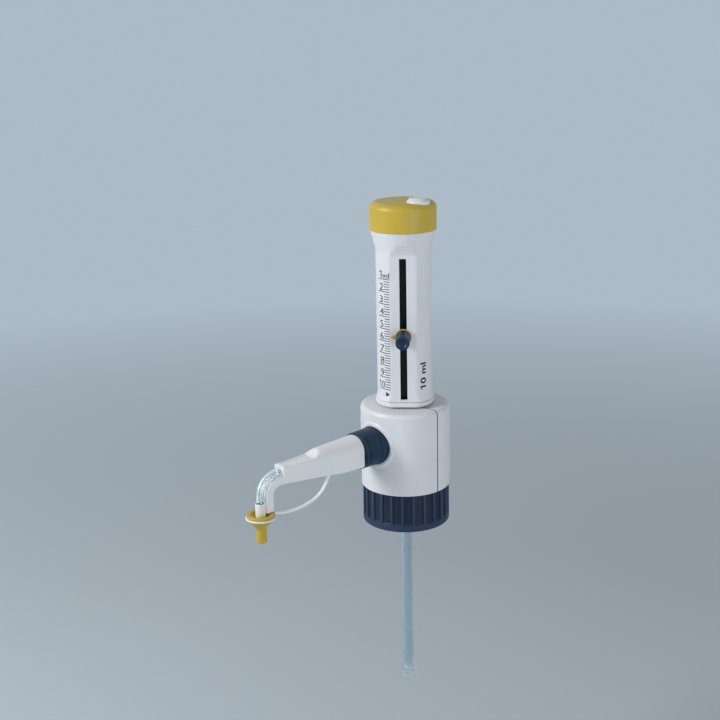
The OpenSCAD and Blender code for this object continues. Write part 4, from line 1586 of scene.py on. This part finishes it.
    def sections(self) -> tuple[Array, ...]:
        """Sections close together along the spout.

        The stations are joined by straight lines, and a running mean rounds the corners between
        them. Both ends draw in along a quarter circle, and the collar at the far end stands proud.

        Returns:
            Distance, half width, top, foot, arch radius and the panel's dip at each section.
        """
        station = self.stations()
        quarter = self.root_edge * (1 - np.cos(np.linspace(0, TURN / 4, 6)))
        along = np.concatenate(
            [
                self.root + quarter,
                np.linspace(self.root + self.root_edge, self.end - self.root_edge, 170)[1:-1],
                self.end - quarter[::-1],
            ]
        )
        offsets = self.station_round * np.linspace(-1, 1, 9)
        near = np.clip(along[:, None] + offsets, self.root, self.end)
        distance, *columns = station.T
        half, top, foot, arch = (np.interp(near, distance, column).mean(1) for column in columns)
        top += self.collar_rise * smooth_step(self.collar, self.collar + 0.5 * MM, along)
        from_end = np.minimum(along - self.root, self.end - along)
        into = np.clip(self.root_edge - from_end, 0, self.root_edge)
        inset = self.root_edge - np.sqrt(self.root_edge**2 - into**2)
        on_panel = smooth_step(self.step + 0.2 * MM, self.step + 0.8 * MM, along)
        off_panel = smooth_step(self.collar - 0.8 * MM, self.collar - 0.2 * MM, along)
        dip = self.panel_dip * on_panel * (1 - off_panel)
        arch = np.maximum(arch - inset, 0.3 * MM)
        return along, half - inset, top - inset, foot + inset, arch, dip

    def shell(self) -> Surface:
        """The spout's body: an arched section that turns into a flat-topped one, closed at both ends.

        The flat top has a shallow panel: the points between its two rims lie lower by the dip.

        Returns:
            The closed body.
        """
        along, half, top, foot, arch, dip = self.sections()
        across = np.stack([-half, half, half, -half], -1)
        height = np.stack([foot, foot, top, top], -1)
        sole = np.minimum(1.5 * MM, 0.4 * half)
        steps = 12
        corners, radii = np.stack([across, height], -1), np.stack([sole, sole, arch, arch], -1)
        before, after = np.split(rounded(corners, radii, steps), [3 * steps], axis=1)
        right, left = before[:, -1:], after[:, :1]
        room = np.maximum(right[..., 0] - left[..., 0], 1e-9)
        rim = np.minimum(self.panel_rim / room, 0.2)
        even = np.ones_like(rim)
        share = np.concatenate([rim, rim + 0.04, 0.3 * even, 0.7 * even, 0.96 - rim, 1 - rim], 1)
        panel = right + share[..., None] * (left - right)
        panel[:, 1:-1, 1] -= dip[:, None]
        y, z = np.moveaxis(np.concatenate([before, panel, after], 1), -1, 0)
        return closed_tube(np.stack(np.broadcast_arrays(-along[:, None], y, z), -1))

    def arm(self) -> Surface:
        """The curved arm under the tube: a rounded bar from the spout's end, round the bend and down.

        Its half width falls smoothly from the spout's own at the start to the arm's after the bend.

        Returns:
            The closed bar.
        """
        centre = np.array([-self.bend_x, self.bend_z])
        start = np.array([-self.bend_x + self.arm_root, 0, self.bend_z + self.arm_mid])
        foot = np.array([-self.bend_x - self.arm_mid, 0, self.tip_rim + self.arm_gap])
        path = np.concatenate(
            [
                line_points(start, start - [self.arm_root, 0, 0], 8)[:-1],
                arc_points(centre, self.arm_mid, TURN / 4, TURN / 2, 33),
                line_points([foot[0], 0, self.bend_z], foot, 8)[1:],
            ]
        )
        half = self.arm_thickness / 2
        spread = self.stations()[-1, 1] - 0.15 * MM - self.arm_half
        w = self.arm_half + spread * (1 - smooth_step(6, 34, np.arange(len(path))))
        corners = corners_at(w, [(-half, -w), (half, -w), (half, w), (-half, w)])
        outline = rounded(corners, np.full(4, self.arm_edge), steps=6)
        return closed_tube(carried(path, outline, self.side))

    def clip(self) -> Surface:
        """The clip that holds the tube over the tip cap.

        Returns:
            The closed sleeve.
        """
        foot, top = self.tip_rim - self.clip_depth, self.tip_rim + self.clip_height
        r, bore = self.clip_radius, self.tube_radius + self.clip_gap
        rows = [(bore, foot), (r - 0.4 * MM, foot), (r, foot + 1.5 * MM), (r, top), (bore, top)]
        return turned(rows, [0.2, 0.5, 0.8, 0.7, 0.2], self.tip, segments=64)

    def tube_path(self) -> Array:
        """The tube's middle line: a slight rise from the valve, the bend, and down into the tip cap.

        Returns:
            Points along the line, (point, 3).
        """
        run, drop = self.bend_x - self.tube_start, self.port.origin[2] - self.bend_z
        slant = math.asin(self.bend / math.hypot(run, drop)) - math.atan2(drop, run)
        centre = np.array([-self.bend_x, self.bend_z])
        bend = arc_points(centre, self.bend, TURN / 4 - slant, TURN / 2, 40)
        start = np.array([-self.tube_start, 0, self.port.origin[2]])
        foot = np.array([-self.reach, 0, node_box("discharge_tube")[0][2]])
        before, after = line_points(start, bend[0], 16), line_points(bend[-1], foot, 12)
        return np.concatenate([before[:-1], bend, after[1:]])

    def tube(self) -> Surface:
        """The clear tube: its outside runs down the path and its bore back up, joined at both ends.

        Returns:
            The closed tube.
        """
        path, angle = self.tube_path(), even_turn(28)
        around = np.stack([np.cos(angle), np.sin(angle)], -1)
        outside, bore = (carried(path, r * around, self.side) for r in (self.tube_radius, self.tube_bore))
        return grid_surface(np.concatenate([outside, bore[::-1]]), wrap_rows=True, wrap_columns=True)

    def tip_cap(self) -> Surface:
        """The tip cap: rim, strap groove, lower lip, cone and stem, with the socket inside.

        Returns:
            The closed cap.
        """
        r, rim, foot = self.tip_radius, self.tip_rim, self.tip_foot
        groove_top = rim - self.groove_rim
        groove_foot = groove_top - self.groove
        lip_foot = groove_foot - self.lip_height
        cone_foot = lip_foot - self.cone_height
        core, lip = r - self.groove_depth, r - self.lip_inset
        socket, socket_foot = self.clip_radius + self.socket_gap, rim - self.clip_depth
        bore, floor = self.tube_radius + self.tube_gap, foot + self.stem_floor
        rows = [
            (0, foot),
            (self.stem - 0.1 * MM, foot),
            (self.stem + 0.1 * MM, cone_foot),
            (core, lip_foot),
            (lip, lip_foot),
            (lip, groove_foot),
            (core, groove_foot),
            (core, groove_top),
            (r, groove_top),
            (r, rim),
            (r - self.mouth, rim),
            (socket, socket_foot),
            (socket, socket_foot - 0.3 * MM),
            (bore, socket_foot - 0.4 * MM),
            (bore, floor),
            (0, floor),
        ]
        eases = [0, 1.0, 2.0, 0.3, 0.3, 0.2, 0.1, 0.1, 0.4, 0.6, 0.5, 0.3, 0.1, 0.2, 0.2, 0]
        return turned(rows, eases, self.tip, steps=6, closed=False)


@dataclass
class CapStrap:
    """The white strap that keeps the tip cap: a bar from the spout's foot to a ring in the cap's groove."""

    spout: Spout
    root: float = 66.0 * MM
    bend: float = 18.0 * MM
    long_bend: float = 52.0 * MM
    turn: float = math.radians(74)
    radius: float = 0.95 * MM
    peg_radius: float = 1.6 * MM
    ring_half: float = 0.55 * MM
    ring_proud: float = 0.45 * MM
    ring_gap: float = 0.05 * MM
    lug: float = 1.4 * MM
    lug_ease: float = 2.0 * MM

    def build(self, shop: Workshop) -> None:
        """Makes the strap and bakes it in place between the spout and the tip cap.

        Args:
            shop: where its pieces are made.
        """
        path = self.path()
        bar = closed_tube(carried(path, self.outlines(path), self.spout.side))
        strap = joined(bar, self.ring())
        ends = ((path[0] + path[3]) / 2, path[-1])
        # The strap takes the spout's lighter white copy: painted light.
        looks = {"dress": SPOUT_LIT_WHITE, "ends": ends}
        shop.piece("cap_strap_moulding", strap, Body.TIP, Slot.WHITE, "cap_strap", **looks)

    def ring_centre(self) -> Array:
        """The middle of the ring in the cap's groove."""
        spout = self.spout
        return np.array([-spout.reach, 0, spout.tip_rim - spout.groove_rim - spout.groove / 2])

    def ring_edges(self) -> tuple[float, float]:
        """Inner and outer radius of the ring.

        Returns:
            The two radii.
        """
        spout = self.spout
        inner = spout.tip_radius - spout.groove_depth + self.ring_gap
        return inner, spout.tip_radius + self.ring_proud

    def path(self) -> Array:
        """The bar's middle line: down from the spout, round a bend and on along a longer one to the ring.

        Both bends share a tangent where they meet, so the longer one's centre lies on the line from
        that point through the first centre. The last points run level into the ring.

        Returns:
            Points along the line, (point, 3).
        """
        spout, ring = self.spout, self.ring_centre()
        inner, outer = self.ring_edges()
        end_radius = outer + self.lug / 3
        further = self.long_bend - self.bend
        long_x = self.root + self.bend + further * math.cos(self.turn)
        end_turn = math.acos((long_x - spout.reach + end_radius) / self.long_bend)
        long_z = ring[2] + self.long_bend * math.sin(end_turn)
        bend_z = long_z - further * math.sin(self.turn)
        first = arc_points(np.array([-self.root - self.bend, bend_z]), self.bend, 0, -self.turn, 20)
        second = arc_points(np.array([-long_x, long_z]), self.long_bend, -self.turn, -end_turn, 30)
        root = np.array([-self.root, 0, node_box("cap_strap")[1][2]])
        into = line_points(second[-1], second[-1] - [end_radius - (inner + outer) / 2, 0, 0], 6)
        return np.concatenate([line_points(root, first[0], 6)[:-1], first, second[1:], into[1:]])

    def outlines(self, path: Array) -> Array:
        """The bar's section along the path: a soft rectangle, thicker at the peg and flat at the ring.

        Args:
            path: points of the middle line, (point, 3).

        Returns:
            Outlines, (path point, point, 2).
        """
        r = self.radius
        corners = np.array([(-0.85, -1), (0.85, -1), (0.85, 1), (-0.85, 1)]) * r
        outline = rounded(corners, np.full(4, 0.6 * r), steps=5)
        foot = self.spout.stations()[0, 3]
        share = smooth_step(foot - 2.5 * MM, foot - 0.5 * MM, path[:, 2])
        swell = 1 + (self.peg_radius / r - 1) * share
        ring_end = self.spout.tip_radius + self.ring_proud + self.lug
        near = 1 - smooth_step(ring_end, ring_end + self.lug_ease, self.spout.reach + path[:, 0])
        thin = 1 - (1 - self.ring_half / (0.85 * r)) * near
        return np.stack([swell * thin, swell], -1)[:, None] * outline

    def ring(self) -> Surface:
        """The ring: a thin flat band turned about the tip's axis.

        Returns:
            The closed band.
        """
        (inner, outer), z, half = self.ring_edges(), self.ring_centre()[2], self.ring_half
        rows = [(inner, z - half), (outer, z - half), (outer, z + half), (inner, z + half)]
        return turned(rows, [0.1, 0.4, 0.4, 0.1], self.spout.tip)


@dataclass
class DischargeSpring:
    """The fine spring that keeps the discharge ball on its seat."""

    turns: int = 6
    rings_per_turn: int = 32
    sides: int = 12
    radius: float = 1.7 * MM

    def build(self, shop: Workshop) -> None:
        """Winds the spring between its retainer and the ball, and bakes it in place.

        Args:
            shop: where its pieces are made.
        """
        axes = joint_axes("union_nut_turn")
        outward = float(joint("discharge_ball_lift")["axis"][0]) * axes.z[0] > 0
        near, far = span_along("discharge_spring", axes)
        half = radius_about("discharge_spring", axes) - self.radius
        t = np.linspace(0, 1, self.turns * self.rings_per_turn + 1)[:, None]
        ring = even_turn(self.sides)
        along = near + half + (far - near - 2 * half) * t + half * np.sin(ring)
        grid = polar(self.radius + half * np.cos(ring), self.turns * TURN * t, along)
        wire = closed_tube(axes.place(grid))
        low, high = (axes.place(np.array([0, 0, height])) for height in (near, far))
        ends = (high, low) if outward else (low, high)
        name, node = "discharge_spring_wire", "discharge_spring"
        shop.piece(name, wire, Body.BALL, Slot.STEEL, node, ends=ends)


@dataclass(frozen=True)
class Lettering:
    """How a word is drawn: a digit's height, its width and boldness beyond the font's own."""

    height: float
    width: float
    boldness: float


@dataclass
class ScalePrint:
    """The printed volume scale left of the handle's flat front, and the plain capacity right of it."""

    handle: LiftHandle
    per_ml: float = 7.771 * MM
    zero_drop: float = 5.1 * MM
    first: int = 1
    last: int = 10
    fifths: int = 5
    line_width: float = 0.42 * MM
    tick_start: float = 0.1 * MM
    tick_length: float = 4.1 * MM
    long_length: float = 9.6 * MM
    digit: Lettering = Lettering(4.6 * MM, 1.35, -0.006)
    pair: Lettering = Lettering(4.6 * MM, 0.95, -0.004)
    unit: Lettering = Lettering(3.4 * MM, 1.2, 0.008)
    number_left: float = 8.4 * MM
    pair_left: float = 10.2 * MM
    unit_left: float = 5.1 * MM
    print_rise: float = 0.75 * MM
    cut_every: float = 0.11
    widest: float = 4.0
    ink_height: float = 0.06 * MM
    mark_foot: float = 85.6 * MM
    mark_height: float = 3.0 * MM
    mark_gap: float = 0.6 * MM
    capacity_style: Lettering = Lettering(4.5 * MM, 1.25, 0.022)
    capacity_foot: float = 90.0 * MM
    capacity_base: float = 6.9 * MM
    ink_sink: float = -0.3
    bar_points: int = 9
    font_digit: float = 0.72
    font_margin: float = -0.3

    def __post_init__(self) -> None:
        """Works out where the scale's zero lies."""
        self.zero = self.handle.slot_top - self.zero_drop

    def build(self, shop: Workshop) -> None:
        """Prints the ticks, the numbers, the mark and the capacity.

        Args:
            shop: where its pieces are made.
        """
        for name, surface in (
            ("scale_ticks", self.ticks()),
            ("scale_numbers", self.numbers()),
            ("scale_mark", self.mark()),
            ("scale_capacity", self.capacity()),
        ):
            shop.piece(name, surface, Body.HANDLE, Slot.BLACK, dress=INK)

    def wrapped(self, across: Array, z: Array, lift: Array, way: int = -1) -> Array:
        """Lays flat points on the handle's round side.

        Args:
            across: distance round the handle from the flat's crease.
            z: height.
            lift: height above the handle's surface.
            way: -1 for the side left of the flat, 1 for the side right of it.

        Returns:
            Points in the row frame.
        """
        handle = self.handle
        crease = math.acos(handle.facet / handle.radius)
        angle = way * (crease + across / handle.radius)
        return polar(handle.outside(angle, z) + lift, angle + handle.facing, z)

    def bars(self, across: Array, z: Array, width: Array) -> Surface:
        """Thin raised bars of ink, each closed at both ends.

        Args:
            across: points along each bar, as distances from the crease, (bar, point).
            z: height of each of those points, (bar, point).
            width: the bar's width there, (bar, point).

        Returns:
            The bars.
        """
        corner = np.array([(-0.5, self.ink_sink), (0.5, self.ink_sink), (0.5, 1), (-0.5, 1)])
        heights = z[..., None] + corner[:, 0] * width[..., None]
        grid = self.wrapped(across[..., None], heights, corner[:, 1] * self.ink_height)
        return joined(*(closed_tube(bar) for bar in grid))

    def ticks(self) -> Surface:
        """A line for each fifth of a millilitre, longer at the whole ones.

        Returns:
            The lines of ink.
        """
        step = np.arange((self.last - self.first) * self.fifths + 1)
        z = self.zero - (self.first + step / self.fifths) * self.per_ml
        length = np.where(step % self.fifths == 0, self.long_length, self.tick_length)
        across = self.tick_start + length[:, None] * np.linspace(0, 1, self.bar_points)
        heights = np.broadcast_to(z[:, None], across.shape)
        return self.bars(across, heights, np.full(across.shape, self.line_width))

    def mark(self) -> Surface:
        """A plain arrowhead under the scale: a bar whose width falls evenly from its foot to its tip.

        Returns:
            The ink of the arrowhead.
        """
        t = np.linspace(0, 1, self.bar_points)[None]
        across = self.tick_start + self.mark_gap + self.mark_height * (1 - t)
        z = np.full(t.shape, self.mark_foot + self.mark_height / 2)
        return self.bars(across, z, self.mark_height * (1.02 - t))

    def numbers(self) -> Surface:
        """The numbers of the whole millilitres and the unit beside the first.

        Returns:
            The ink of the numbers.
        """
        unit = self.zero - self.first * self.per_ml + self.print_rise
        parts = [self.word("ml", self.unit_left, unit, self.unit)]
        for ml in range(self.first, self.last + 1):
            foot = self.zero - ml * self.per_ml + self.print_rise
            left, style = (self.number_left, self.digit) if ml < 10 else (self.pair_left, self.pair)
            parts.append(self.word(str(ml), left, foot, style))
        return joined(*parts)

    def word(self, words: str, left: float, foot: float, style: Lettering) -> Surface:
        """Prints a word level on the scale's side.

        Args:
            words: what to print.
            left: distance of its left edge from the flat's crease.
            foot: height of its base line.
            style: how it is drawn.

        Returns:
            The ink as a closed surface on the handle.
        """
        (x, y, lift), faces = self.lettering(words, style)
        return Surface(self.wrapped(left - x, foot + y, lift), faces)

    def capacity(self) -> Surface:
        """Prints the largest volume upwards on the side right of the flat."""
        (x, y, lift), faces = self.lettering(f"{self.last} ml", self.capacity_style)
        return Surface(self.wrapped(self.capacity_base - y, self.capacity_foot + x, lift, way=1), faces)

    @staticmethod
    def add_flag(slab: bmesh.types.BMesh) -> None:
        """Adds the slanted stroke at the head of a leading 1, which the built-in font draws as a bar.

        Args:
            slab: the word's slab, which gets the stroke.
        """
        left = min(v.co.x for v in slab.verts)
        outline = ((left - 0.17, 0.46), (left + 0.03, 0.61), (left + 0.03, 0.72), (left - 0.17, 0.57))
        low, high = ([slab.verts.new((x, y, z)) for x, y in outline] for z in (-0.5, 0.5))
        slab.faces.new(low[::-1])
        slab.faces.new(high)
        for a, b, c, d in zip(low, low[1:] + low[:1], high[1:] + high[:1], high):
            slab.faces.new((a, b, c, d))
        slab.normal_update()

    def lettering(self, words: str, style: Lettering) -> tuple[Array, Quads]:
        """Draws a word flat, as a thin closed slab cut along fine lines, so that it can be bent.

        Args:
            words: what to draw.
            style: how it is drawn.

        Returns:
            Place from the word's left edge, place from its base line and height above the handle,
            (3, point), and the faces.
        """
        curve = bpy.data.curves.new("scale_word", "FONT")
        curve.body, curve.size, curve.extrude, curve.offset = words, 1.0, 0.5, style.boldness
        curve.resolution_u = 3
        obj = shown("scale_word", curve)
        mesh = bpy.data.meshes.new_from_object(obj.evaluated_get(bpy.context.evaluated_depsgraph_get()))
        slab = bmesh.new()
        slab.from_mesh(mesh)
        bmesh.ops.remove_doubles(slab, verts=slab.verts, dist=1e-4)
        if words.startswith("1"):
            self.add_flag(slab)
        for line in ((1, 0, 0), (0, 1, 0)):
            for place in np.arange(self.font_margin, self.widest, self.cut_every):
                geometry = slab.verts[:] + slab.edges[:] + slab.faces[:]
                bmesh.ops.bisect_plane(slab, geom=geometry, plane_co=place * Vector(line), plane_no=line)
        bmesh.ops.triangulate(slab, faces=slab.faces)
        slab.to_mesh(mesh)
        slab.free()
        points = mesh_points(mesh)
        corner = np.zeros(3 * len(mesh.polygons), np.int32)
        mesh.polygons.foreach_get("vertices", corner)
        bpy.data.objects.remove(obj)
        bpy.data.curves.remove(curve)
        bpy.data.meshes.remove(mesh)
        x, y, z = points.T
        x = (x - x.min()) * style.width * style.height / self.font_digit
        y = y * style.height / self.font_digit
        lift = self.ink_height * np.where(z > 0, 1, self.ink_sink)
        triangles = corner.reshape(-1, 3).astype(np.int64)
        return np.stack([x, y, lift]), np.concatenate([triangles, triangles[:, 2:]], 1)


# Stage


@dataclass(frozen=True)
class StudioLamp:
    """A soft square lamp that faces the object."""

    name: str
    azimuth: float
    elevation: float
    distance: float
    size: float
    power: float

    def hang(self, target: Vector) -> None:
        """Hangs the lamp at its angles round a point and turns it to face that point.

        Args:
            target: the point that it faces.
        """
        a, e = math.radians(self.azimuth), math.radians(self.elevation)
        away = Vector((math.sin(a) * math.cos(e), -math.cos(a) * math.cos(e), math.sin(e)))
        light = bpy.data.lights.new(self.name, "AREA")
        light.shape, light.size, light.energy = "SQUARE", self.size, self.power
        lamp = shown(self.name, light)
        lamp.location = target + away * self.distance
        lamp.rotation_euler = away.to_track_quat("Z", "Y").to_euler()


LAMPS = (
    StudioLamp("key_lamp", -115, 28, 1.3, 0.5, 12),
    StudioLamp("front_lamp", -6, 10, 1.5, 0.9, 7.5),
    StudioLamp("right_lamp", 60, 30, 1.6, 0.8, 0.3),
    StudioLamp("back_lamp", 160, 40, 1.5, 0.9, 1.2),
)
LAMP_TARGET = Vector((-0.02, 0, 0.08))


@dataclass
class Studio:
    """The floor, the light and the camera at the photograph's viewing angle."""

    image: float = 720.0
    focal: float = 1297.0
    sensor: float = 36.0
    azimuth: float = -45.0
    yaw: float = 2.04
    pitch: float = -15.67
    roll: float = -1.2
    camera_distance: float = 786 * MM
    camera_height: float = 326.5 * MM
    floor_drop: float = 104 * MM
    floor_size: float = 30.0
    fade_near: float = 0.5
    fade_far: float = 1.6
    floor_tone: Colour = (0.60, 0.69, 0.76)
    floor_roughness: float = 0.8
    floor_patch: float = 0.4
    backdrop: Colour = (0.42, 0.50, 0.57)
    sky: Colour = (0.92, 0.95, 1.0)
    sky_strength: float = 0.18

    def build(self) -> None:
        """Makes the stage."""
        bpy.context.scene.view_settings.view_transform = "Standard"
        self.camera()
        self.floor()
        self.world()
        for lamp in LAMPS:
            lamp.hang(LAMP_TARGET)

    def camera(self) -> None:
        """Puts the camera where the photograph was taken, turned as the photograph's frame asks."""
        turn = math.radians(self.azimuth)
        data = bpy.data.cameras.new("photo_camera")
        data.sensor_width = self.sensor
        data.lens = self.focal / self.image * self.sensor
        data.clip_start, data.clip_end = 0.01, 50
        obj = shown("photo_camera", data)
        away = Vector((math.sin(turn), -math.cos(turn), 0))
        obj.location = away * self.camera_distance + Vector((0, 0, self.camera_height))
        obj.rotation_mode = "QUATERNION"
        yaw = Quaternion((0, 0, 1), turn + math.radians(self.yaw))
        pitch = Quaternion((1, 0, 0), math.radians(90 + self.pitch))
        obj.rotation_quaternion = yaw @ pitch @ Quaternion((0, 0, 1), math.radians(self.roll))
        bpy.context.scene.camera = obj

    def floor(self) -> None:
        """Lays the pale floor under the filling tube's longest reach."""
        z = CAD_BOX[0][2] - self.floor_drop
        line = np.linspace(-self.floor_size, self.floor_size, 3)
        x, y = np.meshgrid(line, line, indexing="ij")
        surface = grid_surface(np.stack([x, y, np.full(x.shape, z)], -1))
        mesh = bpy.data.meshes.new("studio_floor")
        mesh.from_pydata(surface.points.tolist(), [], surface.quads[:, ::-1].tolist())
        mesh.materials.append(self.floor_finish())
        obj = shown("studio_floor", mesh)

    def floor_finish(self) -> bpy.types.Material:
        """A matt pale floor that fades into the backdrop's own colour away from the object.

        Returns:
            The material.
        """
        graph = Graph("pale_floor")
        darker = toned(self.floor_tone, 0.98)
        tone = graph.blend(graph.noise(self.floor_patch), self.floor_tone, darker)
        graph.shade(Base_Color=tone, Roughness=self.floor_roughness)
        away = graph.add("ShaderNodeVectorMath", graph.place, options={"operation": "LENGTH"})
        share = graph.between(away.outputs["Value"], 0.0, 1.0, self.fade_near, self.fade_far)
        glow = graph.add("ShaderNodeEmission", Color=(*self.backdrop, 1), Strength=1.0)
        mix = graph.add("ShaderNodeMixShader", share, graph.shader.outputs[0], glow.outputs[0])
        graph.feed(graph.tree.nodes["Material Output"], Surface=mix.outputs[0])
        return graph.material

    def world(self) -> None:
        """Lights the scene evenly, and shows a pale backdrop to the camera, in gloss and through glass."""
        world = bpy.data.worlds.new("studio_world")
        world.use_nodes = True
        world.node_tree.nodes.clear()
        tree = NodeTree(world.node_tree)
        ray = tree.add("ShaderNodeLightPath").outputs
        larger = {"operation": "MAXIMUM"}
        clear = tree.add(
            "ShaderNodeMath", ray["Is Glossy Ray"], ray["Is Transmission Ray"], options=larger
        )
        seen = tree.add("ShaderNodeMath", ray["Is Camera Ray"], clear.outputs[0], options=larger)
        light = tree.add("ShaderNodeBackground", Color=(*self.sky, 1), Strength=self.sky_strength)
        backdrop = tree.add("ShaderNodeBackground", Color=(*self.backdrop, 1), Strength=1.0)
        mix = tree.add("ShaderNodeMixShader", seen.outputs[0], light.outputs[0], backdrop.outputs[0])
        tree.add("ShaderNodeOutputWorld", Surface=mix.outputs[0])
        bpy.context.scene.world = world


def main() -> None:
    """Builds the stage, dresses the frame and makes every piece in order."""
    log.setLevel(logging.INFO)
    shop = Workshop()
    Studio().build()
    shop.dress_frame()
    handle, spout = LiftHandle(), Spout()
    head = (BottleNut(), Housing(), handle, VolumeSlider())
    outlet = (spout, CapStrap(spout), DischargeSpring())
    for assembly in (*head, *outlet, ScalePrint(handle)):
        assembly.build(shop)
        log.info("%s done", type(assembly).__name__)
    log.info("%d pieces made", len(shop.made))


if __name__ == "__main__":
    main()
